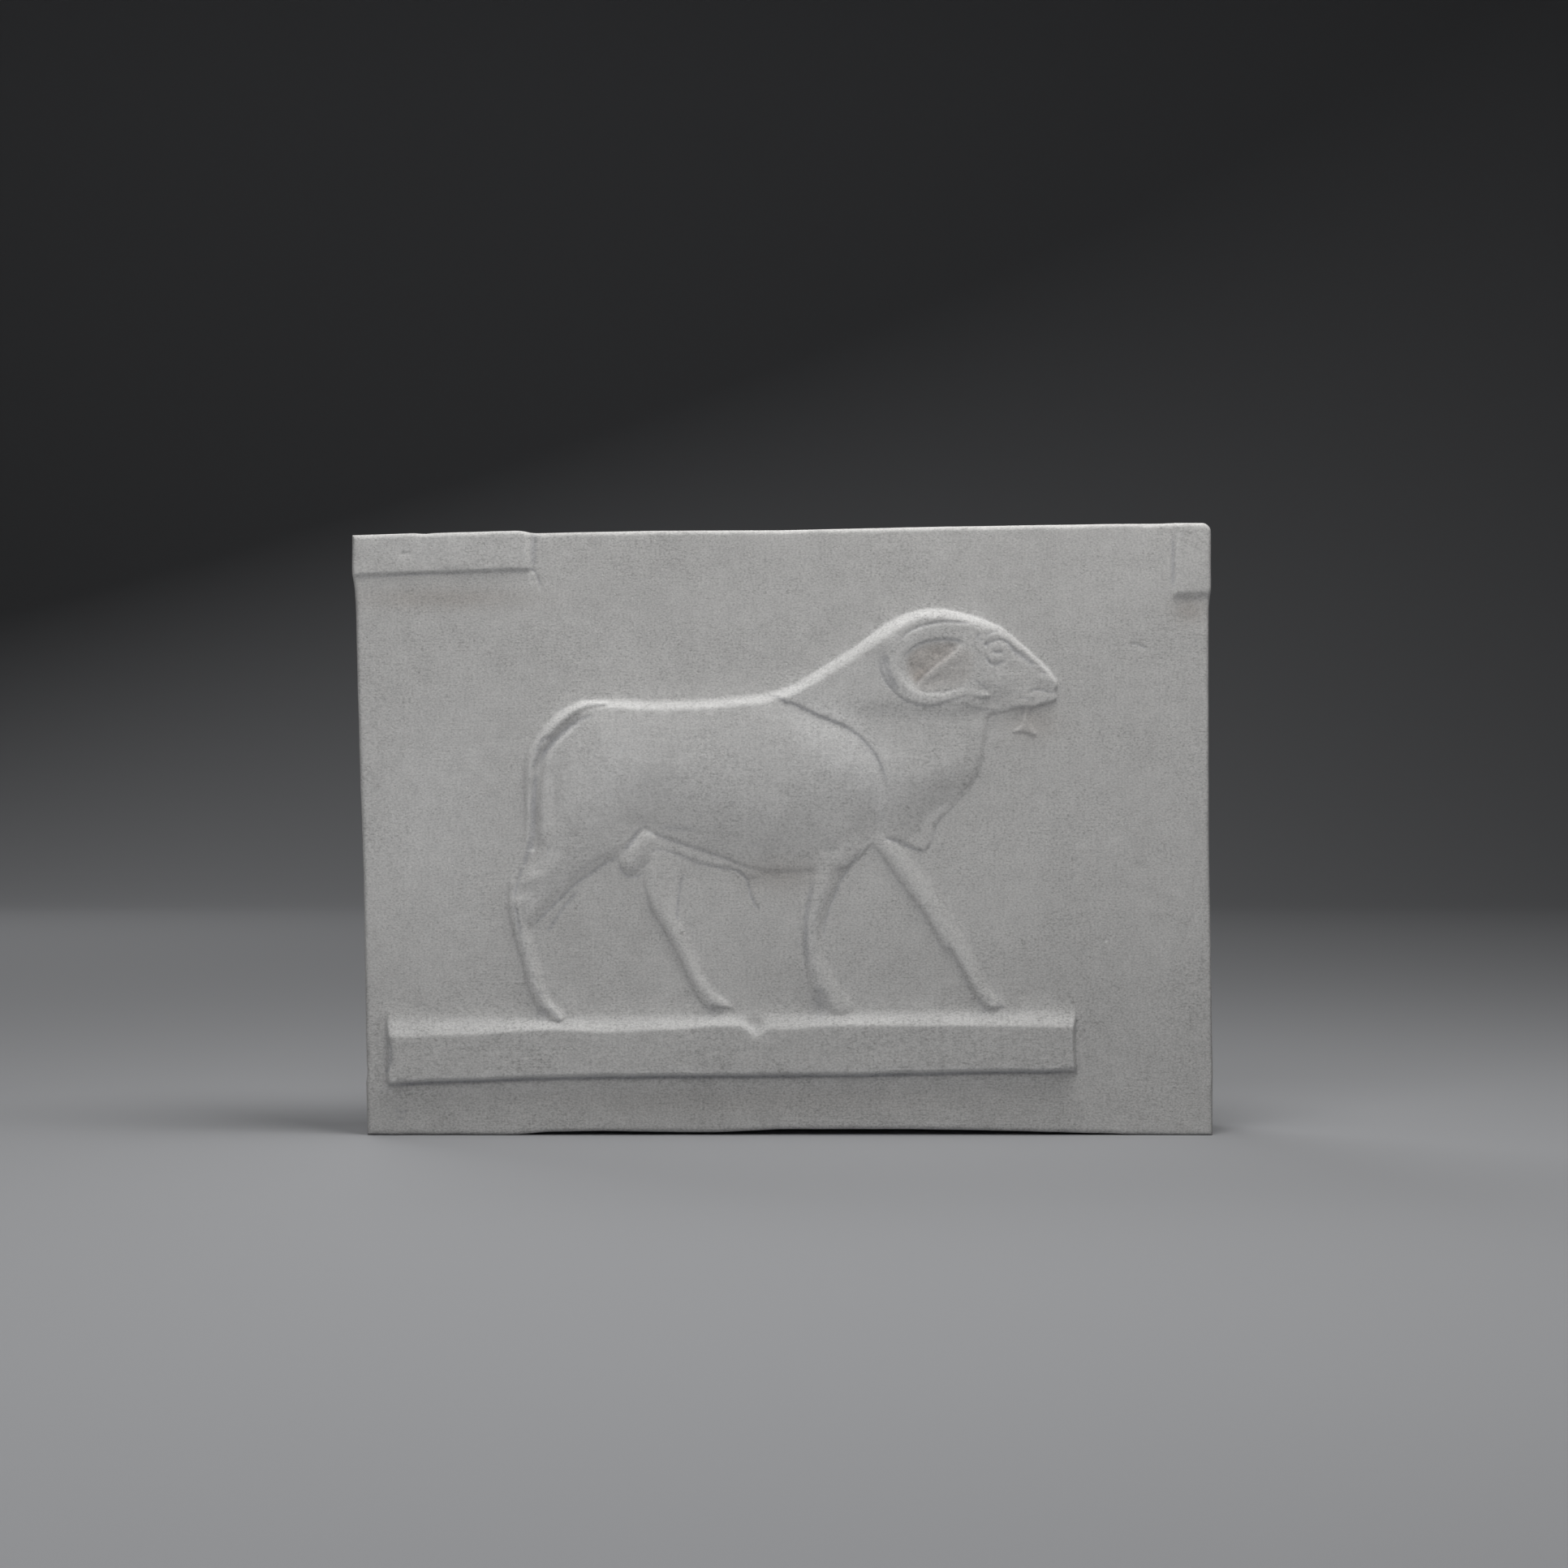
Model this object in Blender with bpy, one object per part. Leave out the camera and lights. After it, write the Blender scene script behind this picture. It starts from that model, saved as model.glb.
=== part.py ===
"""A cast plaster plaque with a walking ram carved in low relief, as one solid.

The ram stands on a raised ground bar. A piece of a raised rail is left along the top
edge on the left, and a small square block is left in the top right corner. The slab's
outline is a little crooked, and its lower edge is hollow, so it rests on two feet.

The front is worked out as a height map. Each form of the animal is one call that raises
or cuts the map, and the map is then laid over a grid that follows the slab's outline.

Sizes are in millimetres in the carving's own frame: x runs to the right from the middle
of the slab, and z runs up from its lower edge. X right, Y to the back, Z up.
"""

import bmesh
import bpy
import numpy as np

MM = 0.001
SLAB = 22.1  # from the flat back to the background of the relief
HIGHEST = 2.4  # the ram's flank stands this far from the background
DEPTH = SLAB + HIGHEST
MIDDLE = 0.6  # x of the middle of the overall width, on the carving's own frame

# The four edges of the slab, each as a run of places and what the edge measures there.
LEFT_EDGE = ((0, -81.0), (11, -81.3), (12.3, -80.9), (14, -81.2), (25, -81.4), (51, -81.8), (70, -82.5),
             (89, -83.0), (103, -83.3), (108, -83.6), (109.8, -84.0))
RIGHT_EDGE = ((0, 85.1), (12, 85.2), (38, 84.8), (57, 84.5), (80, 84.4), (104, 84.4), (107, 84.8))
TOP_EDGE = ((-84, 117.9), (-71, 118.3), (-69.9, 118.0), (-68.8, 118.3), (-51, 118.8), (-48.5, 118.3),
            (-25, 118.8), (0, 118.9), (31, 119.6), (63, 120.1), (75, 120.2), (77, 120.3), (85, 120.3))
LOWER_EDGE = ((-52, 0.0), (-46, 0.6), (-35, 0.8), (-20, 0.5), (-12, 0.5), (0, 1.1), (27, 1.1), (45, 0.8),
              (62, 0.3), (72, 0.0))
CORNER = 1.8  # radius of the top right corner, seen from the front
WORN_EDGE = 0.9  # radius of the front edges
BACK_EDGE = 0.6

# The raised bars: the ground under the ram, the rail, and the block.
GROUND_LEFT, GROUND_RIGHT = -76.6, 57.6
GROUND_FACE_TOP = ((-76.6, 19.3), (-64, 19.7), (-51.3, 20.6), (-43.3, 20.9), (-35.3, 20.4), (-25.7, 20.6),
                   (-12.9, 21.6), (-7.5, 21.4), (0, 20.9), (8, 21.5), (14.3, 21.6), (38.3, 21.7),
                   (57.6, 21.4))
GROUND_CREST = ((-76.6, 22.9), (-62, 22.8), (-50, 22.7), (-20, 23.2), (10, 23.8), (57.6, 24.2))
GROUND_FACE_LOW = ((-76.6, 10.5), (-70.5, 10.9), (-60.9, 11.2), (-48, 11.7), (-32, 12.0), (-16, 12.1),
                   (0, 12.2), (16, 12.3), (32, 12.8), (46, 13.0), (57.6, 13.2))
CHIP_AT, CHIP_HALF, CHIP_DEEP = -4.6, 1.6, 1.9
FOOT_SHARE, FOOT_WIDTH = 0.24, 4.4
GROUND_RISE, RAIL_RISE, BLOCK_RISE = 2.1, 0.62, 0.75
RAIL_RIGHT = -49.6
RAIL_LOW = ((-84, 109.4), (-80.5, 109.9), (-73, 110.3), (-64, 110.5), (-50, 110.9))
BLOCK_LEFT, BLOCK_LOW = 77.9, 106.6

# The outline of the whole animal, in runs from the tail over the back and round to the thigh.
BACK = [(-38.5, 85.2), (-33, 86), (-25.7, 85.6), (-16.1, 85.8), (-8.9, 86.4), (-1.5, 87.3), (3.2, 89.1),
        (9.7, 92.8), (16, 96.9)]
CROWN = [(20, 99.9), (22, 101.2), (24, 102.3), (26, 103.1), (28, 103.6), (30, 103.6), (32, 103.4),
         (34, 103), (36, 102.5), (38, 102), (40, 101.4), (42, 100.6), (44, 99.5), (46, 97.9), (48, 96.1),
         (50, 94.3), (52, 92.4), (53.6, 90.6), (54.6, 89), (54.6, 88), (54.2, 87.2)]
JAW = [(54.4, 86), (54.1, 85.2), (52.9, 84.8), (51.5, 84.4), (50, 83.9), (48, 83.9), (46, 83.7),
       (44.4, 83.1), (43, 82.8), (41.9, 82.6)]
CHEST = [(41.2, 81.2), (40.7, 78.5), (40.2, 75), (39.6, 72), (38.4, 69.3), (36.3, 66.8), (33.8, 64.1),
         (31.3, 61.6), (30.3, 59.6), (29.9, 57.6), (28.6, 55.6), (28.6, 55.6), (26, 56.5), (24, 57.5),
         (22, 58.2), (19.8, 58.4)]
BELLY = [(17.4, 56.2), (13.5, 52.6), (6.8, 51.9), (4, 51.8), (0, 51.7), (-4, 52.1), (-8, 53.2),
         (-12, 54.9), (-16, 56.2), (-20, 57.5), (-24.5, 59.2), (-26.6, 60.2)]
HAUNCH = [(-29, 57.7), (-31.3, 54.4), (-34, 53.2), (-37, 51.2), (-40, 49.1), (-43, 46.2), (-46, 43.3),
          (-48.6, 40.7), (-51.2, 42.5), (-51.8, 46.5), (-50.4, 51), (-48.6, 55.5), (-47.9, 58.5),
          (-47.8, 66), (-47.2, 71), (-46.2, 74.6), (-44.2, 78.2), (-41.2, 81.8)]
ANIMAL = BACK + CROWN + JAW + CHEST + BELLY + HAUNCH
CAPE_LINE = [(-1.6, 86.6), (-0.6, 86.1), (0.6, 85.5), (1.4, 85), (2.3, 84.9), (4, 84.2), (8, 82.3),
             (12, 80.7), (14, 79.6), (16, 78), (18, 75.9), (19.4, 73.7), (20.4, 71.4), (21, 69),
             (21.1, 65), (20.6, 61.5), (19.2, 58.2)]
TRUNK = BACK[:6] + CAPE_LINE + BELLY + HAUNCH
JAW_LINE = [(42, 83.3), (39.5, 83.4), (38, 83.8), (36.6, 84.5), (33, 85.6), (28, 87), (24, 90),
            (22.6, 94), (24, 98)]
BEYOND_TRUNK = [(14, 40), (-60, 30), (-60, 100), (-14, 98), (-5, 90)]
BEYOND_HEAD = [(26, 112), (64, 104), (64, 76), (48, 76)]

CELL = 0.35  # of the height map
FINEST = 0.4  # half width of the finest line
GRID_CELL = 0.6  # of the mesh before it is thinned
FRONT_TRIANGLES = 9000


def smooth_path(points, closed=False, steps=6):
    """A curve through the points; a point given twice makes a corner."""
    p = np.array(points, float)
    if closed:
        p = np.vstack([p[-1], p, p[0], p[1]])
    else:
        p = np.vstack([2 * p[0] - p[1], p, 2 * p[-1] - p[-2]])
    t = np.linspace(0, 1, steps, endpoint=False)[:, None]
    pieces = []
    for a, b, c, d in zip(p[:-3], p[1:-2], p[2:-1], p[3:]):
        bend = (2 * a - 5 * b + 4 * c - d) * t**2 + (3 * b - a - 3 * c + d) * t**3
        pieces.append(b + 0.5 * ((c - a) * t + bend))
    return np.vstack(pieces + [p[-2]])


def spread(values, share):
    """Values given in even steps along something, read at these shares of its length."""
    values = np.atleast_1d(np.array(values, float))
    return np.interp(share, np.linspace(0, 1, len(values)), values)


def along(place, pairs, reach=1.0):
    """What a run of (place, measure) pairs gives at each place, rounded where the run bends."""
    p = np.array(pairs, float)
    shifts = reach * np.linspace(-1, 1, 5)
    return sum(np.interp(place + shift, p[:, 0], p[:, 1]) for shift in shifts) / 5


def ramp(value, start, end):
    return np.clip((value - start) / (end - start), 0, 1)


def ease(value, start, end):
    t = ramp(value, start, end)
    return t * t * (3 - 2 * t)


def soft_max(a, b, reach):
    """The higher of two surfaces, with a small fillet where they cross."""
    t = np.clip(0.5 + 0.5 * (a - b) / reach, 0, 1)
    return b + (a - b) * t + reach * t * (1 - t)


def dome(u, soft):
    """A section from its foot at 0 to its top at 1: round where soft is 0, a gentle S where it is 1."""
    return (1 - soft) * np.sqrt(u * (2 - u)) + soft * u * u * (3 - 2 * u)


class Carving:
    """The front surface as heights over the background, in millimetres."""

    def __init__(self, cell):
        self.cell = cell
        self.x = np.arange(-87, 88, cell)
        self.z = np.arange(-2, 123, cell)
        self.X, self.Z = np.meshgrid(self.x, self.z)
        self.height = np.zeros(self.X.shape)

    def around(self, path, margin):
        """The part of the grid that holds the path, so that a small form costs little."""
        least, most = path.min(0) - margin, path.max(0) + margin
        rows = slice(*np.searchsorted(self.z, [least[1], most[1]]))
        columns = slice(*np.searchsorted(self.x, [least[0], most[0]]))
        return rows, columns

    def nearest(self, path, place):
        """Distance to the path, and the share along it of the nearest point."""
        X, Z = self.X[place], self.Z[place]
        best = np.full(X.shape, 1e9)
        share = np.zeros(X.shape)
        for i, ((ax, az), (bx, bz)) in enumerate(zip(path[:-1], path[1:])):
            dx, dz = bx - ax, bz - az
            long = dx * dx + dz * dz
            if long < 1e-12:
                continue
            t = np.clip(((X - ax) * dx + (Z - az) * dz) / long, 0, 1)
            apart = (X - ax - t * dx) ** 2 + (Z - az - t * dz) ** 2
            nearer = apart < best
            best[nearer] = apart[nearer]
            share[nearer] = (i + t[nearer]) / (len(path) - 1)
        return np.sqrt(best), share

    def inside(self, path, place):
        X, Z = self.X[place], self.Z[place]
        odd = np.zeros(X.shape, bool)
        for (ax, az), (bx, bz) in zip(path, np.roll(path, -1, axis=0)):
            if az != bz:
                odd ^= ((az > Z) != (bz > Z)) & (X < (bx - ax) * (Z - az) / (bz - az) + ax)
        return odd

    def field(self, points, rounding, soft=0.0):
        """How much of a field is there: 0 at its outline, 1 from the rounding inwards."""
        path = smooth_path(points, closed=True)
        place = self.around(path, 1)
        distance, _ = self.nearest(np.vstack([path, path[:1]]), place)
        depth = np.where(self.inside(path, place), distance, 0)
        u = np.clip(depth / np.broadcast_to(rounding, self.X.shape)[place], 0, 1)
        out = np.zeros(self.X.shape)
        out[place] = dome(u, np.broadcast_to(soft, self.X.shape)[place])
        return out

    def mask(self, points, reach):
        """1 well inside an outline, falling to 0 at it over the reach."""
        path = smooth_path(points, closed=True)
        place = self.around(path, 1)
        found = np.zeros(self.X.shape)
        found[place] = self.inside(path, place)
        return found * np.clip(2 * self.blur(found, reach) - 1, 0, 1)

    def lift(self, top, share):
        """Raises what is there toward a new top, by the share of it that is present."""
        self.height += np.maximum(top - self.height, 0) * share

    def ridge(self, left, crest, right, top, soft=(0.0, 0.8)):
        """A form between two contours, highest along its crest, with a section of its own each side."""
        left, crest, right = smooth_path(left), smooth_path(crest), smooth_path(right)
        place = self.around(np.vstack([left, right]), 1)
        to_crest, share = self.nearest(crest, place)
        present = np.zeros(to_crest.shape)
        for contour, softness in ((left, soft[0]), (right, soft[1])):
            to_edge, _ = self.nearest(contour, place)
            within = self.inside(np.vstack([contour, crest[::-1]]), place)
            u = to_edge / np.maximum(to_edge + to_crest, 1e-6)
            present = np.maximum(present, np.where(within, dome(u, softness), 0))
        found = self.height[place]
        found += np.maximum(spread(top, share) - found, 0) * present

    def limb(self, points, halves, top, soft=0.0):
        """A rounded limb along a path, with its half widths and its top given along it."""
        path = smooth_path(points)
        place = self.around(path, max(halves) + 1)
        distance, share = self.nearest(path, place)
        u = 1 - np.clip(distance / spread(halves, share), 0, 1)
        found = self.height[place]
        found += np.maximum(spread(top, share) - found, 0) * dome(u, soft)

    def stroke(self, points, deep, half, fade=0.2):
        """A soft groove or ridge along a path, fading out at both ends, never finer than the tool."""
        half = np.maximum(half, FINEST)
        path = smooth_path(points)
        place = self.around(path, 3 * np.max(half))
        distance, share = self.nearest(path, place)
        ends = ease(np.minimum(share, 1 - share), 0, fade)
        out = np.zeros(self.X.shape)
        out[place] = spread(deep, share) * ends * np.exp(-((distance / spread(half, share)) ** 2))
        return out

    def mound(self, centre, radii, turn, rise):
        """A soft oval swelling, or a hollow where the rise is negative."""
        angle = np.radians(turn)
        dx, dz = self.X - centre[0], self.Z - centre[1]
        u = (dx * np.cos(angle) + dz * np.sin(angle)) / radii[0]
        v = (dz * np.cos(angle) - dx * np.sin(angle)) / radii[1]
        return rise * np.exp(-u * u - v * v)

    def blur(self, values, reach):
        """Values averaged over a soft round brush, or a drawn-out one where two reaches are given."""
        for axis, size in ((0, np.ravel(reach)[-1]), (1, np.ravel(reach)[0])):
            n = int(np.ceil(3 * size / self.cell))
            weights = np.exp(-0.5 * (np.arange(-n, n + 1) * self.cell / size) ** 2)
            weights /= weights.sum()
            length = values.shape[axis]
            wide = np.pad(values, [(n, n) if i == axis else (0, 0) for i in (0, 1)], mode="edge")
            if axis == 0:
                values = sum(w * wide[i:i + length] for i, w in enumerate(weights))
            else:
                values = sum(w * wide[:, i:i + length] for i, w in enumerate(weights))
        return values

    def cut(self, points, deep, half, fade=0.2):
        self.height -= self.stroke(points, deep, half, fade)

    def add(self, points, rise, half, fade=0.2):
        self.height += self.stroke(points, rise, half, fade)

    def read(self, x, z):
        """The height at any place, from the four cells round it."""
        values = self.height
        column = np.clip((x - self.x[0]) / self.cell, 0, len(self.x) - 2)
        row = np.clip((z - self.z[0]) / self.cell, 0, len(self.z) - 2)
        i, j = column.astype(int), row.astype(int)
        s, t = column - i, row - j
        lower = values[j, i] * (1 - s) + values[j, i + 1] * s
        return lower * (1 - t) + (values[j + 1, i] * (1 - s) + values[j + 1, i + 1] * s) * t


def carve_far_legs(c):
    """The two legs on the far side, which stand lowest: a crisp left wall, a right side that runs out."""
    fore_left = [(15, 60), (18.5, 56.5), (20.3, 54.3), (22.5, 51.3), (24.9, 47.9), (27.1, 45.2),
                 (28.7, 42.9), (30.2, 40.2), (31.5, 37.6), (32.6, 36.6), (33.5, 36.6), (34.6, 34.6),
                 (36, 31.9), (37.5, 29.2), (38.8, 26.9), (40.3, 24.8)]
    fore_crest = [(17.6, 61.5), (20.2, 58), (22, 55.2), (24.8, 51), (28, 46.3), (30.4, 42.2),
                  (32.7, 38.8), (35.4, 35), (37.6, 31), (39.7, 27.7), (42, 25.2)]
    fore_right = [(22, 61.5), (24, 58.5), (25.8, 56.5), (28.2, 53), (31.4, 49.3), (34.2, 45.3),
                  (36.2, 41.5), (37.9, 38), (39, 35), (40.4, 32), (42.2, 29), (44.2, 27), (46.5, 25)]
    hind_left = [(-26, 60), (-26.5, 52.5), (-26.6, 48.9), (-25.9, 46.5), (-25.2, 44), (-23.5, 41.5),
                 (-21.9, 38.8), (-20.3, 35.7), (-18.9, 32.8), (-17.4, 29.5), (-16, 26.8), (-14.4, 24.8)]
    hind_crest = [(-24.8, 61), (-25.1, 55), (-25.1, 52), (-24.9, 48.5), (-23.9, 45.2), (-21.7, 41.4),
                  (-19.6, 37.4), (-17.8, 33.5), (-16, 30), (-14, 27.5), (-11.9, 25.2)]
    hind_right = [(-17.8, 61), (-18.2, 55), (-18.7, 52.5), (-19.3, 48.5), (-19.4, 44.2), (-17.6, 40),
                  (-16.1, 36), (-14.6, 32.5), (-13.2, 29.9), (-11, 27.3), (-8, 25)]
    c.ridge(fore_left, fore_crest, fore_right, (0.5, 0.8, 0.95, 0.95, 0.95, 0.9, 0.9, 0.9, 0.9), (0.0, 0.9))
    c.ridge(hind_left, hind_crest, hind_right, (0.5, 0.65, 0.85, 0.9, 0.95, 0.9, 0.9, 0.9), (0.0, 0.8))
    c.cut([(-18.7, 52.5), (-19.6, 48.5), (-20.1, 44), (-20, 41.5)], (0.1, 0.14, 0.08), 0.28)


def carve_sheath(c):
    """The low sheath under the belly, with the line that hangs from its tip."""
    outline = [(-27, 60), (-25.2, 55.2), (-24.2, 56), (-22, 55.7), (-19, 54.7), (-16, 53.5), (-12, 52.6),
               (-9, 52.2), (-7.3, 51.2), (-6, 50.4), (-4.6, 50.6), (-3, 52.5), (-10, 56), (-20, 61)]
    c.lift(0.38, c.field(outline, 0.9, 0.3))
    c.cut([(-25.2, 55.1), (-24.3, 56), (-22, 55.8), (-19, 54.8), (-16, 53.5), (-12, 52.6), (-9, 52.2),
           (-7.5, 51.4), (-6.5, 50.2), (-6, 48.5), (-5.4, 46.5), (-4.6, 45), (-3.7, 44.5)],
          (0.1, 0.08, 0.08, 0.12, 0.2, 0.2, 0.2), (0.28, 0.28, 0.3), 0.06)


def carve_animal(c):
    """Tail to nose as one field, in which the trunk and the head stand over the neck."""
    # The back and crown roll over broadly, the belly and jaw are crisp, the chest and thigh are gentle.
    middle = along(c.x, ((-60, 78), (0, 78), (16, 84), (24, 92), (40, 90.5), (54, 87.6)), 2)
    upper = ease(c.Z, middle - 3, middle + 3)
    rear = ease(-c.X, 38, 46) * (1 - ease(c.Z, 78, 84)) * ease(c.Z, 50, 58)
    under = ease(-c.X, 28, 33) * (1 - ease(c.Z, 55, 60))
    chest = ease(c.X, 28, 33) * (1 - ease(c.Z, 81.5, 83.8)) * ease(c.Z, 57, 64)
    jaw = ease(c.X, 36, 39) * (1 - upper) * (1 - chest)
    crown = 0.3 * ease(c.X, 2, 14) * (1 - ease(c.X, 22, 30)) - 1.5 * ease(c.X, 40, 50)
    rounding = 0.7 + upper * (1.6 + crown)
    rounding = np.maximum(rounding + 0.8 * rear + 2.2 * under + 0.7 * chest - 0.4 * jaw, 0.4)
    soft = 0.3 + upper * (0.5 * (1 - ease(c.X, 2, 10)) - 0.12 * ease(c.X, 30, 34))
    soft = soft + 0.35 * upper * ease(c.X, 20, 26) * (1 - ease(c.X, 29, 33))
    whole = c.field(ANIMAL, rounding, soft)
    c.add([(-37, 85.4), (-25, 85.4), (-8, 86.2), (0, 87.4), (4, 89.2)], 0.2, 2.0, 0.2)
    # The neck swells at the chest and sinks a little under the horn.
    under_horn = 0.5 * ease(c.Z, 81.5, 86) - 0.4 * ease(c.Z, 70, 81.5)
    throat = 1.15 - 0.45 * ease(c.Z, 72, 79) * (1 - ease(c.Z, 80, 84))
    throat = throat * ease(c.X, 22, 30) * (1 - ease(c.Z, 84, 89))
    neck = 0.4 + 1.35 * ease(c.Z + 0.25 * (30 - c.X), 54, 73)
    neck = np.maximum(neck - throat * (1 - c.field(ANIMAL, 9, 0.5)), 0.4) + under_horn * ease(c.X, 10, 20)
    jowl = ease(c.X, 36, 42) * (1 - ease(c.X, 43, 48)) * (1 - ease(c.Z, 83, 90))
    face = 1.75 - 1.0 * ease(c.X, 36, 50) - 0.75 * jowl
    belly = along(c.x, ((-52, 42), (-40, 50), (-30, 57), (-24, 59), (-8, 53.5), (0, 51.7), (22, 56)), 3)
    sink = 1 - ease(c.Z - belly, -2, 14)
    trunk = 1.3 - (0.75 - 0.05 * under) * sink + 1.1 * c.field(TRUNK, 16) ** 2
    cape = c.field(CAPE_LINE + BEYOND_TRUNK, 0.8, 0.3)
    head = c.field(JAW_LINE + BEYOND_HEAD, 1.4, 0.4)
    c.lift(neck + (trunk - neck) * cape + (face - neck) * head, whole)
    c.height += carve_muscles(c) * c.mask(ANIMAL, 0.7)
    c.cut(CAPE_LINE[:14], (0.06, 0.13, 0.15, 0.15, 0.15, 0.12, 0.08), 0.28, 0.06)
    c.cut([(19.8, 58.6), (22, 58), (24, 57.3), (26, 56.3), (28.6, 55.4)], 0.12, 0.3)
    c.cut([(28.9, 55.4), (29.9, 57.6), (31.3, 61.6), (34, 64.3), (38.4, 69.3)], (0.06, 0.05, 0.03), 0.25)


def carve_muscles(c):
    """Soft swellings and hollows of the haunch, flank, shoulder and neck."""
    return (
        c.mound((9, 73.5), (12, 8.5), -38, 0.6)
        + c.mound((10.5, 76.5), (9, 4.5), -40, 0.22)
        + c.mound((17.5, 60.5), (6, 5.5), 0, -0.35)
        + c.mound((12.5, 65.3), (4.5, 3), 25, -0.15)
        + c.mound((-39, 69), (6.5, 13), 10, 0.12)
        + c.mound((-36, 78), (4, 7), 30, 0.12)
        + c.mound((-25, 66), (4.5, 3.2), -15, -0.15)
        + c.mound((-27.5, 61), (2.6, 2.2), 20, -0.25)
        + c.mound((-44.2, 65), (0.9, 7), 0, -0.24)
        + c.mound((-46.6, 64), (1.0, 8), 0, 0.06)
        + c.mound((10.8, 58.3), (2.3, 4.5), -18, 0.25)
        + c.mound((20.8, 96.8), (3, 2.6), 30, 0.3)
    )


def carve_near_legs(c):
    """The two legs on the near side, which stand highest, and the scrotum behind them."""
    hind_left = [(-50.5, 56), (-51.5, 50), (-53.4, 46), (-53.1, 43), (-52.2, 39), (-51, 35), (-49.9, 31),
                 (-48.8, 27), (-47.4, 24.6), (-46, 23)]
    hind_crest = [(-47.8, 56), (-48.6, 50), (-51, 46), (-51.2, 43), (-50.4, 39), (-49.4, 35), (-48.4, 31),
                  (-47.4, 28), (-46, 25.6), (-44.4, 23.6), (-43.2, 22.4)]
    hind_right = [(-45, 56), (-45.6, 50), (-47.5, 45), (-48.3, 41.5), (-47.8, 38), (-46.9, 34),
                  (-46, 30.5), (-45, 27.5), (-43.4, 25.6), (-41.4, 23.4)]
    fore_left = [(8.5, 65), (7.5, 60), (6.7, 55), (5.9, 50), (5.2, 45), (4.5, 41), (4.7, 36), (5.4, 31),
                 (6, 27.6), (6.5, 24.8), (6.7, 22.8)]
    fore_crest = [(11.5, 67), (10.5, 61), (9.6, 56), (8.8, 51), (8, 47), (6.9, 43.5), (6.2, 40),
                  (6.3, 36.5), (6.8, 33.5), (7.5, 30.6), (8.6, 28.2), (9.5, 25.5), (9.8, 22.8)]
    fore_right = [(16.5, 65), (16.5, 60), (15.6, 56), (13.1, 52.2), (11.4, 49), (10.2, 46), (9.1, 43),
                  (8.7, 40), (8.9, 37), (9.5, 34), (10.8, 31), (12.8, 28.2), (14.8, 25.8), (16, 22.8)]
    c.ridge(hind_left, hind_crest, hind_right, (0.7, 1.1, 1.25, 1.15, 1.05, 1.0, 0.95, 1.0, 1.2), (0.1, 0.7))
    fore_tops = (0.8, 1.2, 1.35, 1.35, 1.3, 1.3, 1.3, 1.25, 1.1, 0.9, 0.7)
    c.ridge(fore_left, fore_crest, fore_right, fore_tops, (0.2, 0.5))
    c.limb([(-26.3, 57.8), (-27.8, 55.6), (-29.2, 53.6)], (2.1, 2.8, 2.4), (1.1, 1.2, 1.1), 0.35)
    c.cut([(-31.5, 54.7), (-31.2, 52.3), (-29.8, 50.9), (-27.6, 50.9), (-26.3, 52.2)], 0.12, 0.3, 0.35)
    c.cut([(17.3, 57.2), (15.3, 55), (13.4, 52.1), (11.8, 49.3), (10.6, 46.3), (9.5, 43.5), (8.8, 40),
           (8.9, 37.5)],
          (0.06, 0.1, 0.11, 0.1, 0.06), 0.26)
    c.cut([(6.9, 51.5), (6.3, 48.5), (5.8, 46), (5.3, 43), (5.1, 40), (5.2, 36),
           (5.7, 32)], 0.18, 0.45, 0.2)


def carve_hoofs(c):
    """The knob of the hock, then each foot from the left: a hollow behind, a wedge before."""
    c.height += c.mound((-48.4, 50.4), (1.4, 1.5), -20, 0.35)
    c.height += c.mound((-49.3, 47), (0.8, 3.0), -12, 0.16)
    c.height += c.mound((-46.2, 23.9), (0.9, 1.1), 20, -0.4)
    c.height += c.mound((-44.6, 24.4), (0.7, 1.2), 35, 0.25) + c.mound((-41.6, 24.4), (1.8, 2.6), 40, 0.2)
    c.height += c.mound((-12, 24), (1.8, 1.2), -20, -0.5) + c.mound((-8, 24.4), (1.8, 2.0), 40, 0.25)
    c.height += c.mound((8, 25.2), (1.6, 2.6), 0, -0.45) + c.mound((11.4, 25), (1.4, 2.4), 25, 0.15)
    c.height += c.mound((40.2, 24.4), (1.8, 1.2), -30, -0.45)
    c.height += c.mound((42.8, 24.6), (1.4, 1.4), 30, 0.15)


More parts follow.
